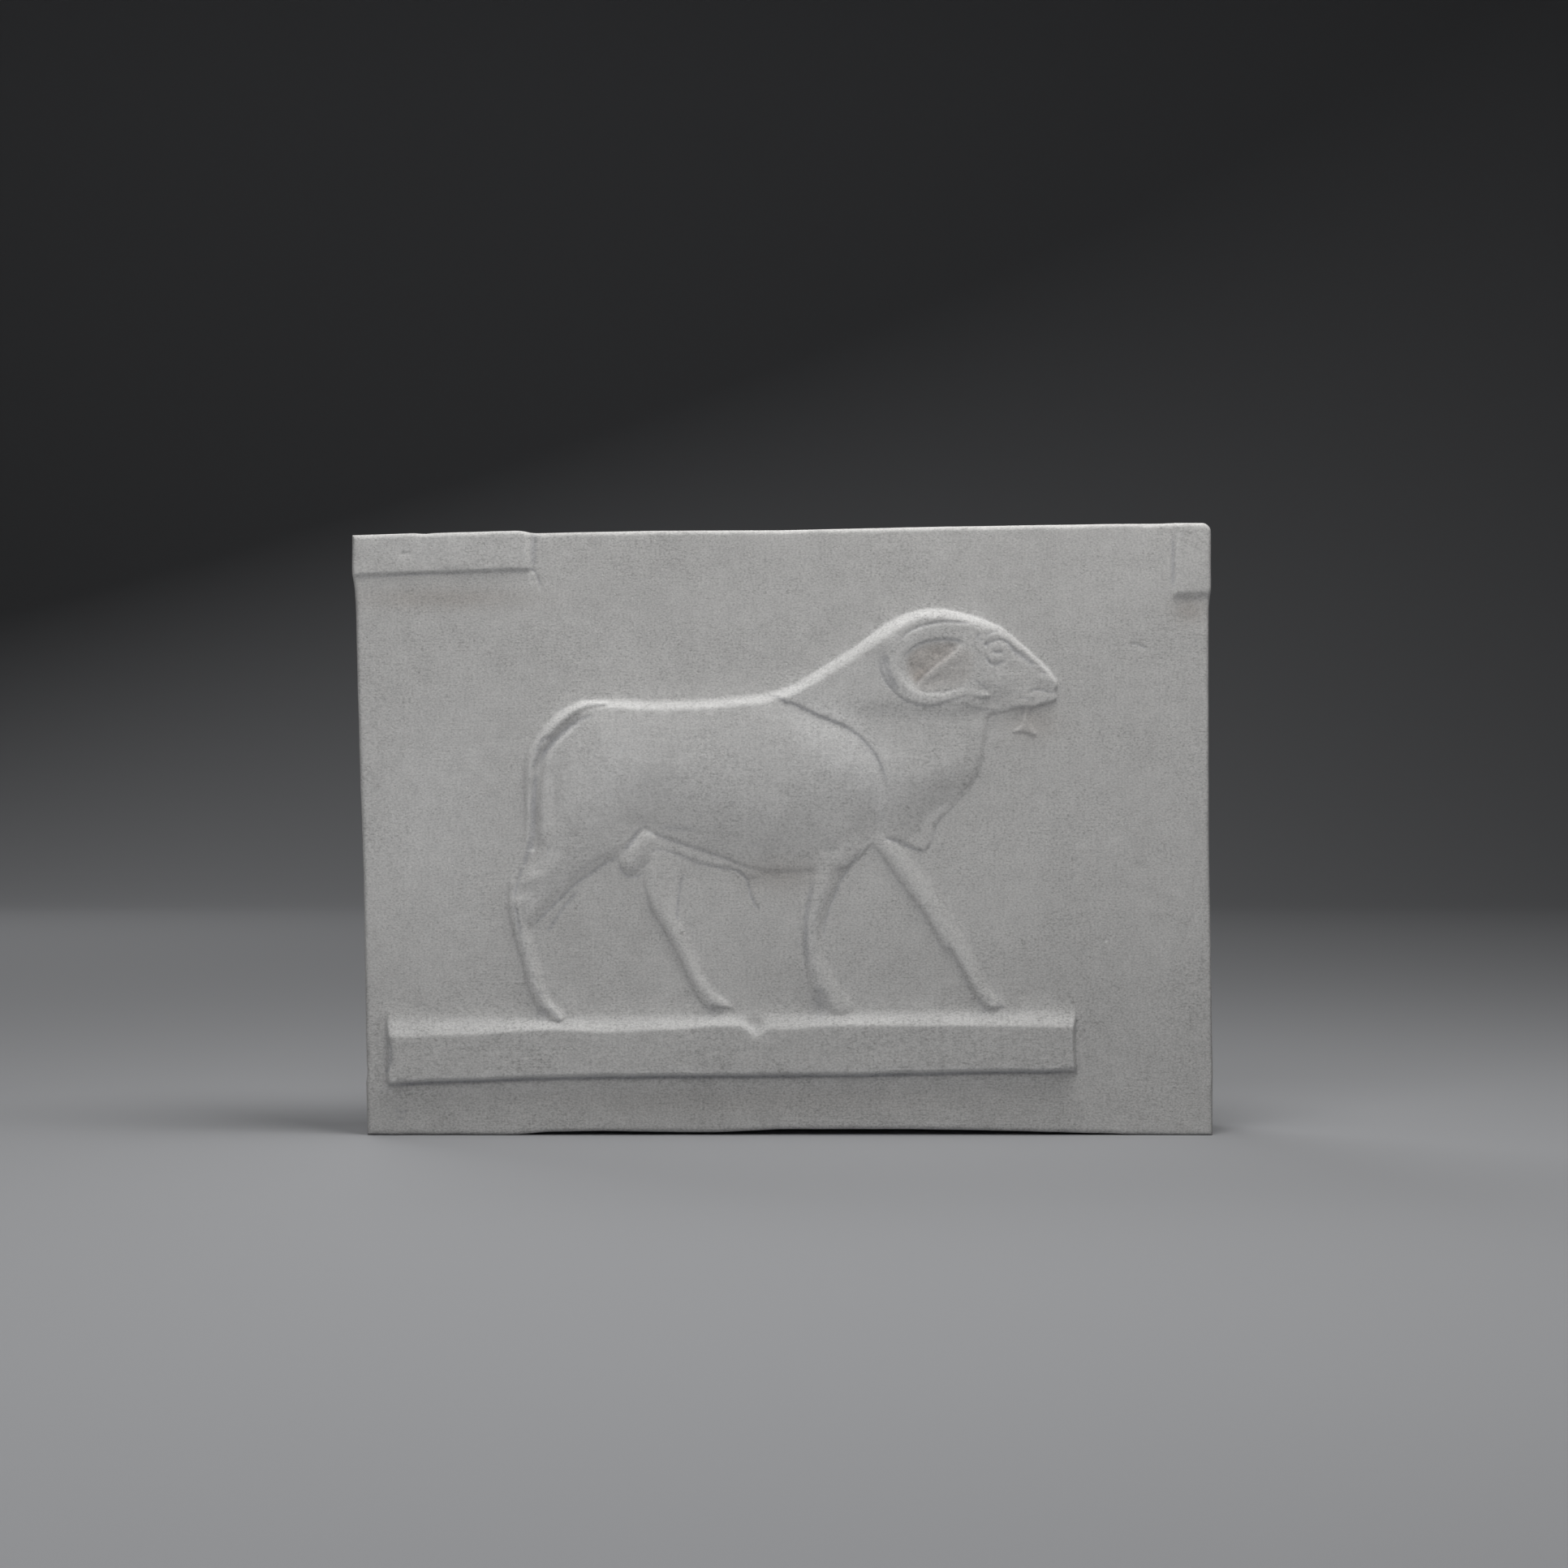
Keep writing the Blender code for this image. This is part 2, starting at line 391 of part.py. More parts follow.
def carve_tail(c):
    """The tail, a rope that leaves the croup and hangs behind the thigh to the hock."""
    rope = [(-34, 84.8), (-38.5, 84), (-42, 82), (-45, 79.2), (-47.3, 76), (-48.7, 73), (-49.2, 69.5),
            (-49.3, 64), (-49.4, 59), (-50.2, 55.5), (-51.6, 51.5), (-52.6, 48), (-53, 45.5)]
    halves = (0.3, 1.6, 1.9, 1.95, 1.8, 1.6, 1.3, 1.05, 1.0, 1.2, 1.5, 1.2, 0.4)
    c.limb(rope, halves, (1.5, 1.6, 1.5, 1.3, 1.0, 0.7, 0.65, 0.75, 0.6), 0.7)
    under = [(-35.3, 82.9), (-37, 82.4), (-38.8, 81.7), (-40.7, 80.5), (-42.2, 79.3), (-43.8, 77.9),
             (-45, 76.5), (-46, 75.3), (-46.7, 73.7), (-47.4, 72.2)]
    c.cut(under, (0.06, 0.12, 0.17, 0.2, 0.2, 0.17, 0.12), (0.4, 0.45, 0.45, 0.45, 0.4, 0.35))
    c.cut([(-47.6, 72), (-48.1, 69), (-48.4, 65), (-48.5, 60), (-48.9, 57.4), (-49.8, 54.2), (-50.6, 52)],
          (0.18, 0.28, 0.32, 0.32, 0.3, 0.25, 0.15), (0.35, 0.42, 0.45, 0.4))
    c.cut([(-50.4, 53), (-51.3, 49.8), (-52.2, 46.2)], 0.18, 0.26)


def carve_horn(c):
    """The horn's ring from the brow round to the cheek, and the ear in the hollow inside it."""
    outer = [(37.8, 99.8), (35, 100.6), (32.5, 100.7), (30, 100.4), (28, 99.9), (26, 99.1), (24, 97.8),
             (22, 96.6), (20.5, 95.6), (19.7, 94.2), (19.4, 92.7), (19.9, 90.9), (21, 88.8), (22.6, 86.9),
             (24.6, 85.4), (26.5, 84.7), (28.6, 84.3), (30.6, 84.4), (32.5, 84.9), (34.3, 85.6),
             (36.3, 86.1), (38.3, 86), (40, 85.8), (41.4, 86.2)]
    crest = [(38.4, 98.8), (35, 99.8), (32.5, 100), (30, 99.7), (27.5, 98.9), (25, 97.3), (23.3, 95.4),
             (22.5, 93.5), (22.5, 91.5), (23.1, 89.6), (24.4, 88), (26.4, 86.6), (28.9, 85.7), (31, 85.7),
             (33.3, 86.2), (35.6, 86.9), (37.8, 87), (39.6, 86.6), (41.4, 86.4)]
    inner = [(37.5, 97.4), (34, 97.6), (31.5, 97.5), (29, 97.1), (27, 96.4), (25.3, 95.1), (24.1, 93.5),
             (23.6, 91.7), (24.2, 89.9), (25.6, 88.3), (27.6, 87.2), (30.2, 86.8), (33, 87.1),
             (35.3, 87.8), (37.5, 87.8), (39.5, 87.1), (41.4, 86.6)]
    tops = (1.5, 1.76, 1.8, 1.84, 1.9, 1.98, 2.08, 2.16, 2.18, 2.14, 2.08, 2.04, 2.0, 1.95, 1.8, 1.6, 1.4)
    c.ridge(outer, crest, inner, tops, (-0.3, 0.4))
    top_line = [(23.2, 96.8), (24.8, 98.4), (26.5, 99.4), (28, 100), (30, 100.4), (32, 100.8),
                (34, 100.7), (36, 100.6), (37.4, 100.5)]
    c.cut(top_line, (0.1, 0.2, 0.22, 0.22, 0.22, 0.2), 0.22, 0.1)
    hollow = [(24.3, 93.6), (25.3, 95.1), (27, 96.4), (29, 97.1), (32, 97.5), (34.5, 97.4), (36.2, 96.9),
              (35.6, 95.9), (34.3, 94.5), (32.8, 93.2), (31, 92), (29.5, 90.8), (28, 89.3), (26.7, 87.9),
              (25.2, 89.4), (24.3, 91.5)]
    c.height -= 0.45 * c.field(hollow, 1.7, 0.7)
    c.cut([(35.2, 96.2), (33.2, 94.6), (31.4, 93.1), (29.6, 91.6), (28, 90),
           (26.5, 88.2)], 0.2, 0.3, 0.15)
    c.add([(36.1, 96), (34.2, 93.7), (31, 91.8), (28.4, 88.8)], (0.06, 0.08, 0.04), 1.0)
    c.height += c.mound((32, 89.3), (4.2, 1.3), 12, -0.15)


def carve_face(c):
    """The eye with its two lids, the nose fold, the nostril, the mouth and the beard."""
    fold = [(40.1, 96), (42.2, 97.1), (43.5, 97.25), (45.4, 95.8), (47.5, 94.2), (50.4, 91.9)]
    c.cut(fold, (0.2, 0.14, 0.18, 0.18, 0.12), 0.4, 0.1)
    c.height += c.mound((43, 95), (2.0, 2.0), 0, 0.1)
    c.height += c.mound((43.1, 96.1), (1.2, 0.6), -8, 0.12) + c.mound((42.9, 93.7), (1.3, 0.6), 0, 0.12)
    c.cut([(41.6, 95.4), (42.3, 94.8), (43.1, 94.8), (44.1, 94.6)], 0.15, 0.3, 0.3)
    c.cut([(40.5, 94.4), (40.8, 93.3), (42.5, 92.4), (44.3, 93.1)], (0.16, 0.16, 0.1), 0.4)
    c.cut([(38.5, 97), (38.8, 97.9), (39.4, 98.6)], 0.12, 0.4, 0.3)
    c.height += c.mound((52.2, 89.7), (1.7, 0.9), -12, 0.12)
    c.cut([(50.8, 91.2), (51.7, 90.8), (52.9, 90.3)], 0.12, 0.3, 0.3)
    c.cut([(48.5, 87), (49.5, 87.4), (52, 87.3), (54.6, 86.6)], (0.1, 0.18, 0.14), 0.35, 0.12)
    bell = [(47.9, 84.8), (48, 82.6), (46.6, 80), (45.5, 79.4), (46.4, 78.9), (49.5, 78.4), (50.6, 78.7),
            (49.1, 82), (49.3, 84.8)]
    c.lift(0.35, c.field(bell, 0.8, 0.5))


def carve_bars(c):
    """The ground bar with the chip in its front edge, the rail, and the corner block."""
    chip = CHIP_DEEP * np.exp(-(((c.x - CHIP_AT) / CHIP_HALF) ** 2))
    face_top = along(c.x, GROUND_FACE_TOP) - chip
    bottom = along(c.x, GROUND_FACE_LOW)
    crest = along(c.x, GROUND_CREST)
    # The upper side slopes evenly to the crest line, and a hollow curve runs on from there.
    slope = 1 - FOOT_SHARE - (1 - FOOT_SHARE) * ramp(c.Z, face_top, crest)
    foot = FOOT_SHARE * (1 - ramp(c.Z, crest, crest + FOOT_WIDTH)) ** 2
    ground = np.minimum.reduce([
        ramp(c.X, GROUND_LEFT - 0.8, GROUND_LEFT),
        ramp(-c.X, -GROUND_RIGHT - 0.7, -GROUND_RIGHT),
        ramp(c.Z, bottom - 0.5, bottom),
        slope + foot,
    ])
    rail_low = along(c.x, RAIL_LOW)
    rail = np.minimum(ease(-c.X, -RAIL_RIGHT - 1.4, -RAIL_RIGHT + 0.6), ramp(c.Z, rail_low, rail_low + 0.4))
    block = np.minimum(ramp(c.X, BLOCK_LEFT - 0.6, BLOCK_LEFT), ramp(c.Z, BLOCK_LOW - 1.4, BLOCK_LOW))
    for rise, share in ((GROUND_RISE, ground), (RAIL_RISE, rail), (BLOCK_RISE, block)):
        c.lift(rise * share, share > 0)
    c.height += c.mound((-5.2, 21.9), (2.0, 1.2), -8, -0.5) + c.mound((-4.5, 20.2), (1.1, 1.0), 0, -0.2)
    c.height += c.mound((-76.8, 14.8), (1.0, 2.2), 5, -0.6) + c.mound((-76.9, 18.3), (0.9, 1.1), 0, -0.7)


def carve_front(cell):
    """All the forms in order, from the farthest to the nearest, then one light smoothing."""
    c = Carving(cell)
    for carve in (carve_far_legs, carve_sheath, carve_animal, carve_near_legs, carve_hoofs, carve_tail,
                  carve_horn, carve_face, carve_bars):
        carve(c)
    hollows = np.minimum(c.height, 0)
    forms = np.maximum(c.height, 0)
    c.height = soft_max(forms, 0.42 * c.blur(forms, (2.5, 2.3)), 0.18) + hollows
    c.height = c.blur(c.height, (0.15, 0.15))
    c.height *= HIGHEST / c.height.max()
    return c


def slab_place(u, v):
    """Where a point of the unit square lies on the slab's crooked front, and how near an edge."""
    z = v * 119.0
    for _ in range(3):
        left, right = along(z, LEFT_EDGE), along(z, RIGHT_EDGE)
        x = left + (right - left) * u
        low, top = along(x, LOWER_EDGE), along(x, TOP_EDGE)
        z = low + (top - low) * v
    inset = np.minimum.reduce([x - left, right - x, z - low, top - z])
    # The top right corner: squares round its centre become circles.
    a, b = np.maximum(x - right + CORNER, 0), np.maximum(z - top + CORNER, 0)
    share = np.where(a * b > 0, np.maximum(a, b) / np.maximum(np.hypot(a, b), 1e-9), 1)
    return x - a * (1 - share), z - b * (1 - share), inset


def front_sheet(carving):
    """The front as an open sheet, thinned where it is flat."""
    mesh = bpy.data.meshes.new("front_sheet")
    bm = bmesh.new()
    bmesh.ops.create_grid(bm, x_segments=round(170 / GRID_CELL), y_segments=round(119 / GRID_CELL), size=0.5)
    uv = np.array([v.co[:2] for v in bm.verts]) + 0.5
    x, z, inset = slab_place(uv[:, 0], uv[:, 1])
    turned = WORN_EDGE - np.sqrt(np.maximum(WORN_EDGE**2 - np.maximum(WORN_EDGE - inset, 0) ** 2, 0))
    y = DEPTH / 2 - SLAB - carving.read(x, z) + turned
    for vertex, place in zip(bm.verts, np.stack([x - MIDDLE, y, z], axis=1) * MM):
        vertex.co = place
    triangles = 2 * len(bm.faces)
    bm.to_mesh(mesh)
    bm.free()
    sheet = bpy.data.objects.new("front_sheet", mesh)
    bpy.context.scene.collection.objects.link(sheet)
    thinned = sheet.modifiers.new("Thinned", "DECIMATE")
    thinned.ratio = FRONT_TRIANGLES / triangles
    bpy.context.view_layer.update()
    graph = bpy.context.evaluated_depsgraph_get()
    result = bpy.data.meshes.new_from_object(sheet.evaluated_get(graph))
    bpy.data.objects.remove(sheet)
    return result


def close_slab(mesh):
    """The sheet's rim drawn back to the flat back face, with a small worn edge round it."""
    bm = bmesh.new()
    bm.from_mesh(mesh)
    back = DEPTH / 2 * MM
    rim = [e for e in bm.edges if e.is_boundary]
    for y, inset in ((back - BACK_EDGE * MM, 0.0), (back, BACK_EDGE * MM)):
        made = bmesh.ops.extrude_edge_only(bm, edges=rim)["geom"]
        rim = [g for g in made if isinstance(g, bmesh.types.BMEdge) and g.is_boundary]
        corners = {v for e in rim for v in e.verts}
        for v in corners:
            v.co.y = y
        if inset:
            for v in corners:
                v.co.x *= 1 - inset / (85 * MM)
                v.co.z += inset * (1 - v.co.z / (60 * MM)) if v.co.z > 2 * MM else inset
    bmesh.ops.contextual_create(bm, geom=rim)
    bmesh.ops.triangulate(bm, faces=[f for f in bm.faces if len(f.verts) > 3])
    bmesh.ops.recalc_face_normals(bm, faces=bm.faces)
    places = np.array([v.co for v in bm.verts])
    low, high = places.min(0), places.max(0)
    for v in bm.verts:
        v.co.x -= (low[0] + high[0]) / 2
        v.co.y -= (low[1] + high[1]) / 2
        v.co.z -= low[2]
    bm.to_mesh(mesh)
    bm.free()


def plaster_material():
    material = bpy.data.materials.new("plaster")
    material.use_nodes = True
    shader = material.node_tree.nodes["Principled BSDF"]
    shader.inputs["Base Color"].default_value = (0.66, 0.65, 0.635, 1)
    shader.inputs["Roughness"].default_value = 0.85
    shader.inputs["Metallic"].default_value = 0.0
    return material


def relief_plaque(collection):
    """The whole plaque: the carved front, the worn sides and the flat back, as one solid."""
    mesh = front_sheet(carve_front(CELL))
    close_slab(mesh)
    mesh.name = "relief_plaque"
    mesh.materials.append(plaster_material())
    plaque = bpy.data.objects.new("relief_plaque", mesh)
    collection.objects.link(plaque)


for old in list(bpy.data.objects):
    bpy.data.objects.remove(old)
ram_plaque = bpy.data.collections.new("ram_relief_plaque")
bpy.context.scene.collection.children.link(ram_plaque)
relief_plaque(ram_plaque)
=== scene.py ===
# %% [markdown]
# # A cast plaster plaque with a walking ram
# The real object is one casting: a thick slab of plaster, struck off flat at the back, with a ram
# carved in low relief on its face. The ram walks along a raised ground bar, and remains of a
# raised frame are left at the top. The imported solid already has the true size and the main
# forms. This lesson makes the finer skin that stands for it: every cut line, lock, chip and pit.
#
# First the solid is loaded. Everything here is placed from its box.

import bmesh
import bpy
import numpy as np
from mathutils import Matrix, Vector


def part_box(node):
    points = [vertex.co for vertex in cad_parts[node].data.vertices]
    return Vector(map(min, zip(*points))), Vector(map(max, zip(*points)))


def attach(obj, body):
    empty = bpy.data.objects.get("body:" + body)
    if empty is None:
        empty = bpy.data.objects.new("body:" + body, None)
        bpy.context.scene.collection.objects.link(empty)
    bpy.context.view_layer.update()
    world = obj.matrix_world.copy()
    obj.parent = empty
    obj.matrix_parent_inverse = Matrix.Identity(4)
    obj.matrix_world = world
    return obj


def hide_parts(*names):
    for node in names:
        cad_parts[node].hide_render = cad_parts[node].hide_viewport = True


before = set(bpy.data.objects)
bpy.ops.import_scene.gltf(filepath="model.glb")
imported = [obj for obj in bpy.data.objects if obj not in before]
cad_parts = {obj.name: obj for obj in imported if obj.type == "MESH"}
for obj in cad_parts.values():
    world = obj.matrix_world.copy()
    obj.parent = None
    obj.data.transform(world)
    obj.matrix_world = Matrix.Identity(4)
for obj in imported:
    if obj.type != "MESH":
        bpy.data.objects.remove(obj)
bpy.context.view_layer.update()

low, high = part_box("relief_plaque")
MM = 0.001
DEPTH = (high.y - low.y) / MM
print("the plaque is", [round((b - a) / MM, 1) for a, b in zip(low, high)], "mm")


def show(name, data):
    """A new object of the scene."""
    made = bpy.data.objects.new(name, data)
    bpy.context.scene.collection.objects.link(made)
    return made


# %% [markdown]
# ## The slab's outline
# A plaster cast is never quite square. Its four edges are given as short runs of places, in
# millimetres: x runs to the right from the middle, and z runs up from the lower edge. Reading a
# run between its places, with a little rounding where it bends, gives an edge that wanders as a
# hand-finished mould does.

# %% The outline
HIGHEST = 2.4  # the ram's flank stands this far from the background
FIRST_HEIGHT = 119.0  # a first guess of the slab's height, which slab_place corrects
LEFT_EDGE = ((0, -81.0), (11, -81.3), (12.3, -80.9), (14, -81.2), (25, -81.4), (51, -81.8),
             (70, -82.5), (89, -83.0), (103, -83.3), (108, -83.6), (109.8, -84.0))
RIGHT_EDGE = ((0, 85.1), (12, 85.2), (38, 84.8), (57, 84.5), (80, 84.4), (104, 84.4), (107, 84.8))
TOP_EDGE = ((-84, 117.9), (-71, 118.3), (-69.9, 118.0), (-68.8, 118.3), (-51, 118.8),
            (-48.5, 118.3), (-25, 118.8), (0, 118.9), (31, 119.6), (63, 120.1), (75, 120.2),
            (77, 120.3), (85, 120.3))
LOWER_EDGE = ((-52, 0.0), (-46, 0.6), (-35, 0.8), (-20, 0.5), (-12, 0.5), (0, 1.1), (27, 1.1),
              (45, 0.8), (62, 0.3), (72, 0.0))
CORNER = 1.8  # radius of the top right corner, seen from the front
WORN_EDGE = 0.9  # radius of the front edges
BACK_EDGE = 0.6


def along(place, pairs, reach=1.0):
    """What a run of (place, measure) pairs gives at each place, rounded where the run bends."""
    p = np.array(pairs, float)
    shifts = reach * np.linspace(-1, 1, 5)
    return sum(np.interp(place + shift, p[:, 0], p[:, 1]) for shift in shifts) / 5


def ramp(value, start, end):
    return np.clip((value - start) / (end - start), 0, 1)


def ease(value, start, end):
    t = ramp(value, start, end)
    return t * t * (3 - 2 * t)


def slab_place(u, v):
    """Where a point of the unit square lies on the slab's crooked front, and how near an edge."""
    z = v * FIRST_HEIGHT
    for _ in range(3):
        left, right = along(z, LEFT_EDGE), along(z, RIGHT_EDGE)
        x = left + (right - left) * u
        bottom, top = along(x, LOWER_EDGE), along(x, TOP_EDGE)
        z = bottom + (top - bottom) * v
    inset = np.minimum.reduce([x - left, right - x, z - bottom, top - z])
    a, b = np.maximum(x - right + CORNER, 0), np.maximum(z - top + CORNER, 0)
    share = np.where(a * b > 0, np.maximum(a, b) / np.maximum(np.hypot(a, b), 1e-9), 1)
    return x - a * (1 - share), z - b * (1 - share), inset


ends = np.array([0.0, 1.0])
for u in ends:
    x, z, _ = slab_place(np.array([u, u]), ends)
    print("corners of the front at", "right" if u else "left", x.round(1), z.round(1))

# %% [markdown]
# ## A sheet to carve in
# A relief is a height over a background. It could be sculpted by hand, or built from many meshes
# joined by booleans, but a height map is closest to the way a relief is cut: each stroke raises
# or lowers one sheet. The class below keeps the heights on an even grid of cells and has one
# method for each kind of stroke: a field with a rounded rim, a ridge between two contours, a
# limb, a cut line and a soft swelling. The widths of the carver's tools have names of their own.

# %% The carver's strokes
SHEET_X, SHEET_Z = (-87, 88), (-2, 123)  # the sheet reaches a little past the slab
CHANCE_SEED = 17
HAIR, GRAVER, CHISEL, GOUGE = 0.22, 0.25, 0.3, 0.4  # half widths of the tools' marks
UNMARKED_CUT, DARKEST_CUT = 0.015, 0.1  # a line this deep stays pale, and one this deep is full of dirt and painted shade


def smooth_path(points, closed=False, steps=6):
    """A curve through the points; a point given twice makes a corner."""
    p = np.array(points, float)
    if closed:
        p = np.vstack([p[-1], p, p[0], p[1]])
    else:
        p = np.vstack([2 * p[0] - p[1], p, 2 * p[-1] - p[-2]])
    t = np.linspace(0, 1, steps, endpoint=False)[:, None]
    pieces = []
    for a, b, c, d in zip(p[:-3], p[1:-2], p[2:-1], p[3:]):
        bend = (2 * a - 5 * b + 4 * c - d) * t**2 + (3 * b - a - 3 * c + d) * t**3
        pieces.append(b + 0.5 * ((c - a) * t + bend))
    return np.vstack(pieces + [p[-2]])


def spread(values, share):
    """Values given in even steps along something, read at these shares of its length."""
    values = np.atleast_1d(np.array(values, float))
    return np.interp(share, np.linspace(0, 1, len(values)), values)


def soft_max(a, b, reach):
    """The higher of two surfaces, with a small fillet where they cross."""
    t = np.clip(0.5 + 0.5 * (a - b) / reach, 0, 1)
    return b + (a - b) * t + reach * t * (1 - t)


def dome(u, soft):
    """A section from its foot at 0 to its top at 1: round if soft is 0, a gentle S if it is 1."""
    return (1 - soft) * np.sqrt(u * (2 - u)) + soft * u * u * (3 - 2 * u)


class Carving:
    """The front surface as heights over the background, in millimetres."""

    def __init__(self, cell):
        self.cell = cell
        self.x = np.arange(*SHEET_X, cell)
        self.z = np.arange(*SHEET_Z, cell)
        self.X, self.Z = np.meshgrid(self.x, self.z)
        self.height = np.zeros(self.X.shape)
        self.dirt_and_shade = np.zeros(self.X.shape)
        self.chance = np.random.default_rng(CHANCE_SEED)

    def around(self, path, margin):
        """The part of the grid that holds the path, so that a small form costs little."""
        least, most = path.min(0) - margin, path.max(0) + margin
        rows = slice(*np.searchsorted(self.z, [least[1], most[1]]))
        columns = slice(*np.searchsorted(self.x, [least[0], most[0]]))
        return rows, columns

    def nearest(self, path, place):
        """Distance to the path, and the share along it of the nearest point."""
        X, Z = self.X[place], self.Z[place]
        best = np.full(X.shape, 1e9)
        share = np.zeros(X.shape)
        for i, ((ax, az), (bx, bz)) in enumerate(zip(path[:-1], path[1:])):
            dx, dz = bx - ax, bz - az
            long = dx * dx + dz * dz
            if long < 1e-12:
                continue
            t = np.clip(((X - ax) * dx + (Z - az) * dz) / long, 0, 1)
            apart = (X - ax - t * dx) ** 2 + (Z - az - t * dz) ** 2
            nearer = apart < best
            best[nearer] = apart[nearer]
            share[nearer] = (i + t[nearer]) / (len(path) - 1)
        return np.sqrt(best), share

    def inside(self, path, place):
        X, Z = self.X[place], self.Z[place]
        odd = np.zeros(X.shape, bool)
        for (ax, az), (bx, bz) in zip(path, np.roll(path, -1, axis=0)):
            if az != bz:
                odd ^= ((az > Z) != (bz > Z)) & (X < (bx - ax) * (Z - az) / (bz - az) + ax)
        return odd

    def field(self, points, rounding, soft=0.0):
        """How much of a field is there: 0 at its outline, 1 from the rounding inwards."""
        path = smooth_path(points, closed=True)
        place = self.around(path, 1)
        distance, _ = self.nearest(np.vstack([path, path[:1]]), place)
        depth = np.where(self.inside(path, place), distance, 0)
        u = np.clip(depth / np.broadcast_to(rounding, self.X.shape)[place], 0, 1)
        out = np.zeros(self.X.shape)
        out[place] = dome(u, np.broadcast_to(soft, self.X.shape)[place])
        return out

    def mask(self, points, reach):
        """1 well inside an outline, falling to 0 at it over the reach."""
        path = smooth_path(points, closed=True)
        place = self.around(path, 1)
        found = np.zeros(self.X.shape)
        found[place] = self.inside(path, place)
        return found * np.clip(2 * self.blur(found, reach) - 1, 0, 1)

    def lift(self, top, share):
        """Raises what is there toward a new top, by the share of it that is present."""
        self.height += np.maximum(top - self.height, 0) * share

    def ridge(self, left, crest, right, top, soft=(0.0, 0.8)):
        """A form between two contours, highest along its crest, with its own section each side."""
        left, crest, right = smooth_path(left), smooth_path(crest), smooth_path(right)
        place = self.around(np.vstack([left, right]), 1)
        to_crest, share = self.nearest(crest, place)
        present = np.zeros(to_crest.shape)
        for contour, softness in ((left, soft[0]), (right, soft[1])):
            to_edge, _ = self.nearest(contour, place)
            within = self.inside(np.vstack([contour, crest[::-1]]), place)
            u = to_edge / np.maximum(to_edge + to_crest, 1e-6)
            present = np.maximum(present, np.where(within, dome(u, softness), 0))
        found = self.height[place]
        found += np.maximum(spread(top, share) - found, 0) * present

    def limb(self, points, halves, top, soft=0.0):
        """A rounded limb along a path, with its half widths and its top given along it."""
        path = smooth_path(points)
        place = self.around(path, max(halves) + 1)
        distance, share = self.nearest(path, place)
        u = 1 - np.clip(distance / spread(halves, share), 0, 1)
        found = self.height[place]
        found += np.maximum(spread(top, share) - found, 0) * dome(u, soft)

    def stroke(self, points, deep, half, fade=0.2):
        """A soft groove or ridge along a path, fading out at both ends."""
        path = smooth_path(points)
        place = self.around(path, 3 * np.max(half))
        distance, share = self.nearest(path, place)
        ends = ease(np.minimum(share, 1 - share), 0, fade)
        out = np.zeros(self.X.shape)
        out[place] = spread(deep, share) * ends * np.exp(-((distance / spread(half, share)) ** 2))
        return out

    def mound(self, centre, radii, turn, rise):
        """A soft oval swelling, or a hollow where the rise is negative."""
        angle = np.radians(turn)
        dx, dz = self.X - centre[0], self.Z - centre[1]
        u = (dx * np.cos(angle) + dz * np.sin(angle)) / radii[0]
        v = (dz * np.cos(angle) - dx * np.sin(angle)) / radii[1]
        return rise * np.exp(-u * u - v * v)

    def mounds(self, *rows):
        """Several swellings together, each given as its centre, radii, turn and rise."""
        return sum(self.mound(*row) for row in rows)

    def swell(self, *rows):
        self.height += self.mounds(*rows)

    def blur(self, values, reach):
        """Values averaged over a soft round brush, or a drawn-out one if two reaches are given."""
        for axis, size in ((0, np.ravel(reach)[-1]), (1, np.ravel(reach)[0])):
            n = int(np.ceil(3 * size / self.cell))
            weights = np.exp(-0.5 * (np.arange(-n, n + 1) * self.cell / size) ** 2)
            weights /= weights.sum()
            length = values.shape[axis]
            wide = np.pad(values, [(n, n) if i == axis else (0, 0) for i in (0, 1)], mode="edge")
            if axis == 0:
                values = sum(w * wide[i:i + length] for i, w in enumerate(weights))
            else:
                values = sum(w * wide[:, i:i + length] for i, w in enumerate(weights))
        return values

    def grain(self, reach):
        """Chance unevenness of even strength, as coarse as the reach, the same on each run."""
        values = self.blur(self.chance.standard_normal(self.X.shape), reach)
        return values / values.std()

    def cut(self, points, deep, half, fade=0.2):
        """A cut line, which also holds dirt and painted shade."""
        line = self.stroke(points, deep, half, fade)
        self.height -= line
        self.dirt_and_shade = np.maximum(self.dirt_and_shade, ramp(line, UNMARKED_CUT, DARKEST_CUT))

    def add(self, points, rise, half, fade=0.2):
        self.height += self.stroke(points, rise, half, fade)

    def read(self, values, x, z):
        """A map's value at any place, from the four cells round it."""
        column = np.clip((x - self.x[0]) / self.cell, 0, len(self.x) - 2)
        row = np.clip((z - self.z[0]) / self.cell, 0, len(self.z) - 2)
        i, j = column.astype(int), row.astype(int)
        s, t = column - i, row - j
        lower = values[j, i] * (1 - s) + values[j, i + 1] * s
        return lower * (1 - t) + (values[j + 1, i] * (1 - s) + values[j + 1, i + 1] * s) * t


CELL = 0.16
print("a sheet of", round(np.ptp(SHEET_X) / CELL), "by", round(np.ptp(SHEET_Z) / CELL), "cells")

# %% [markdown]
# ## The legs on the far side
# In relief, depth is told by overlap: the far legs are cut first and stand lowest. Each one is a
# ridge between two contours. The left contour is a crisp wall, and the right side runs out
# gently, as a flat chisel leaves it.

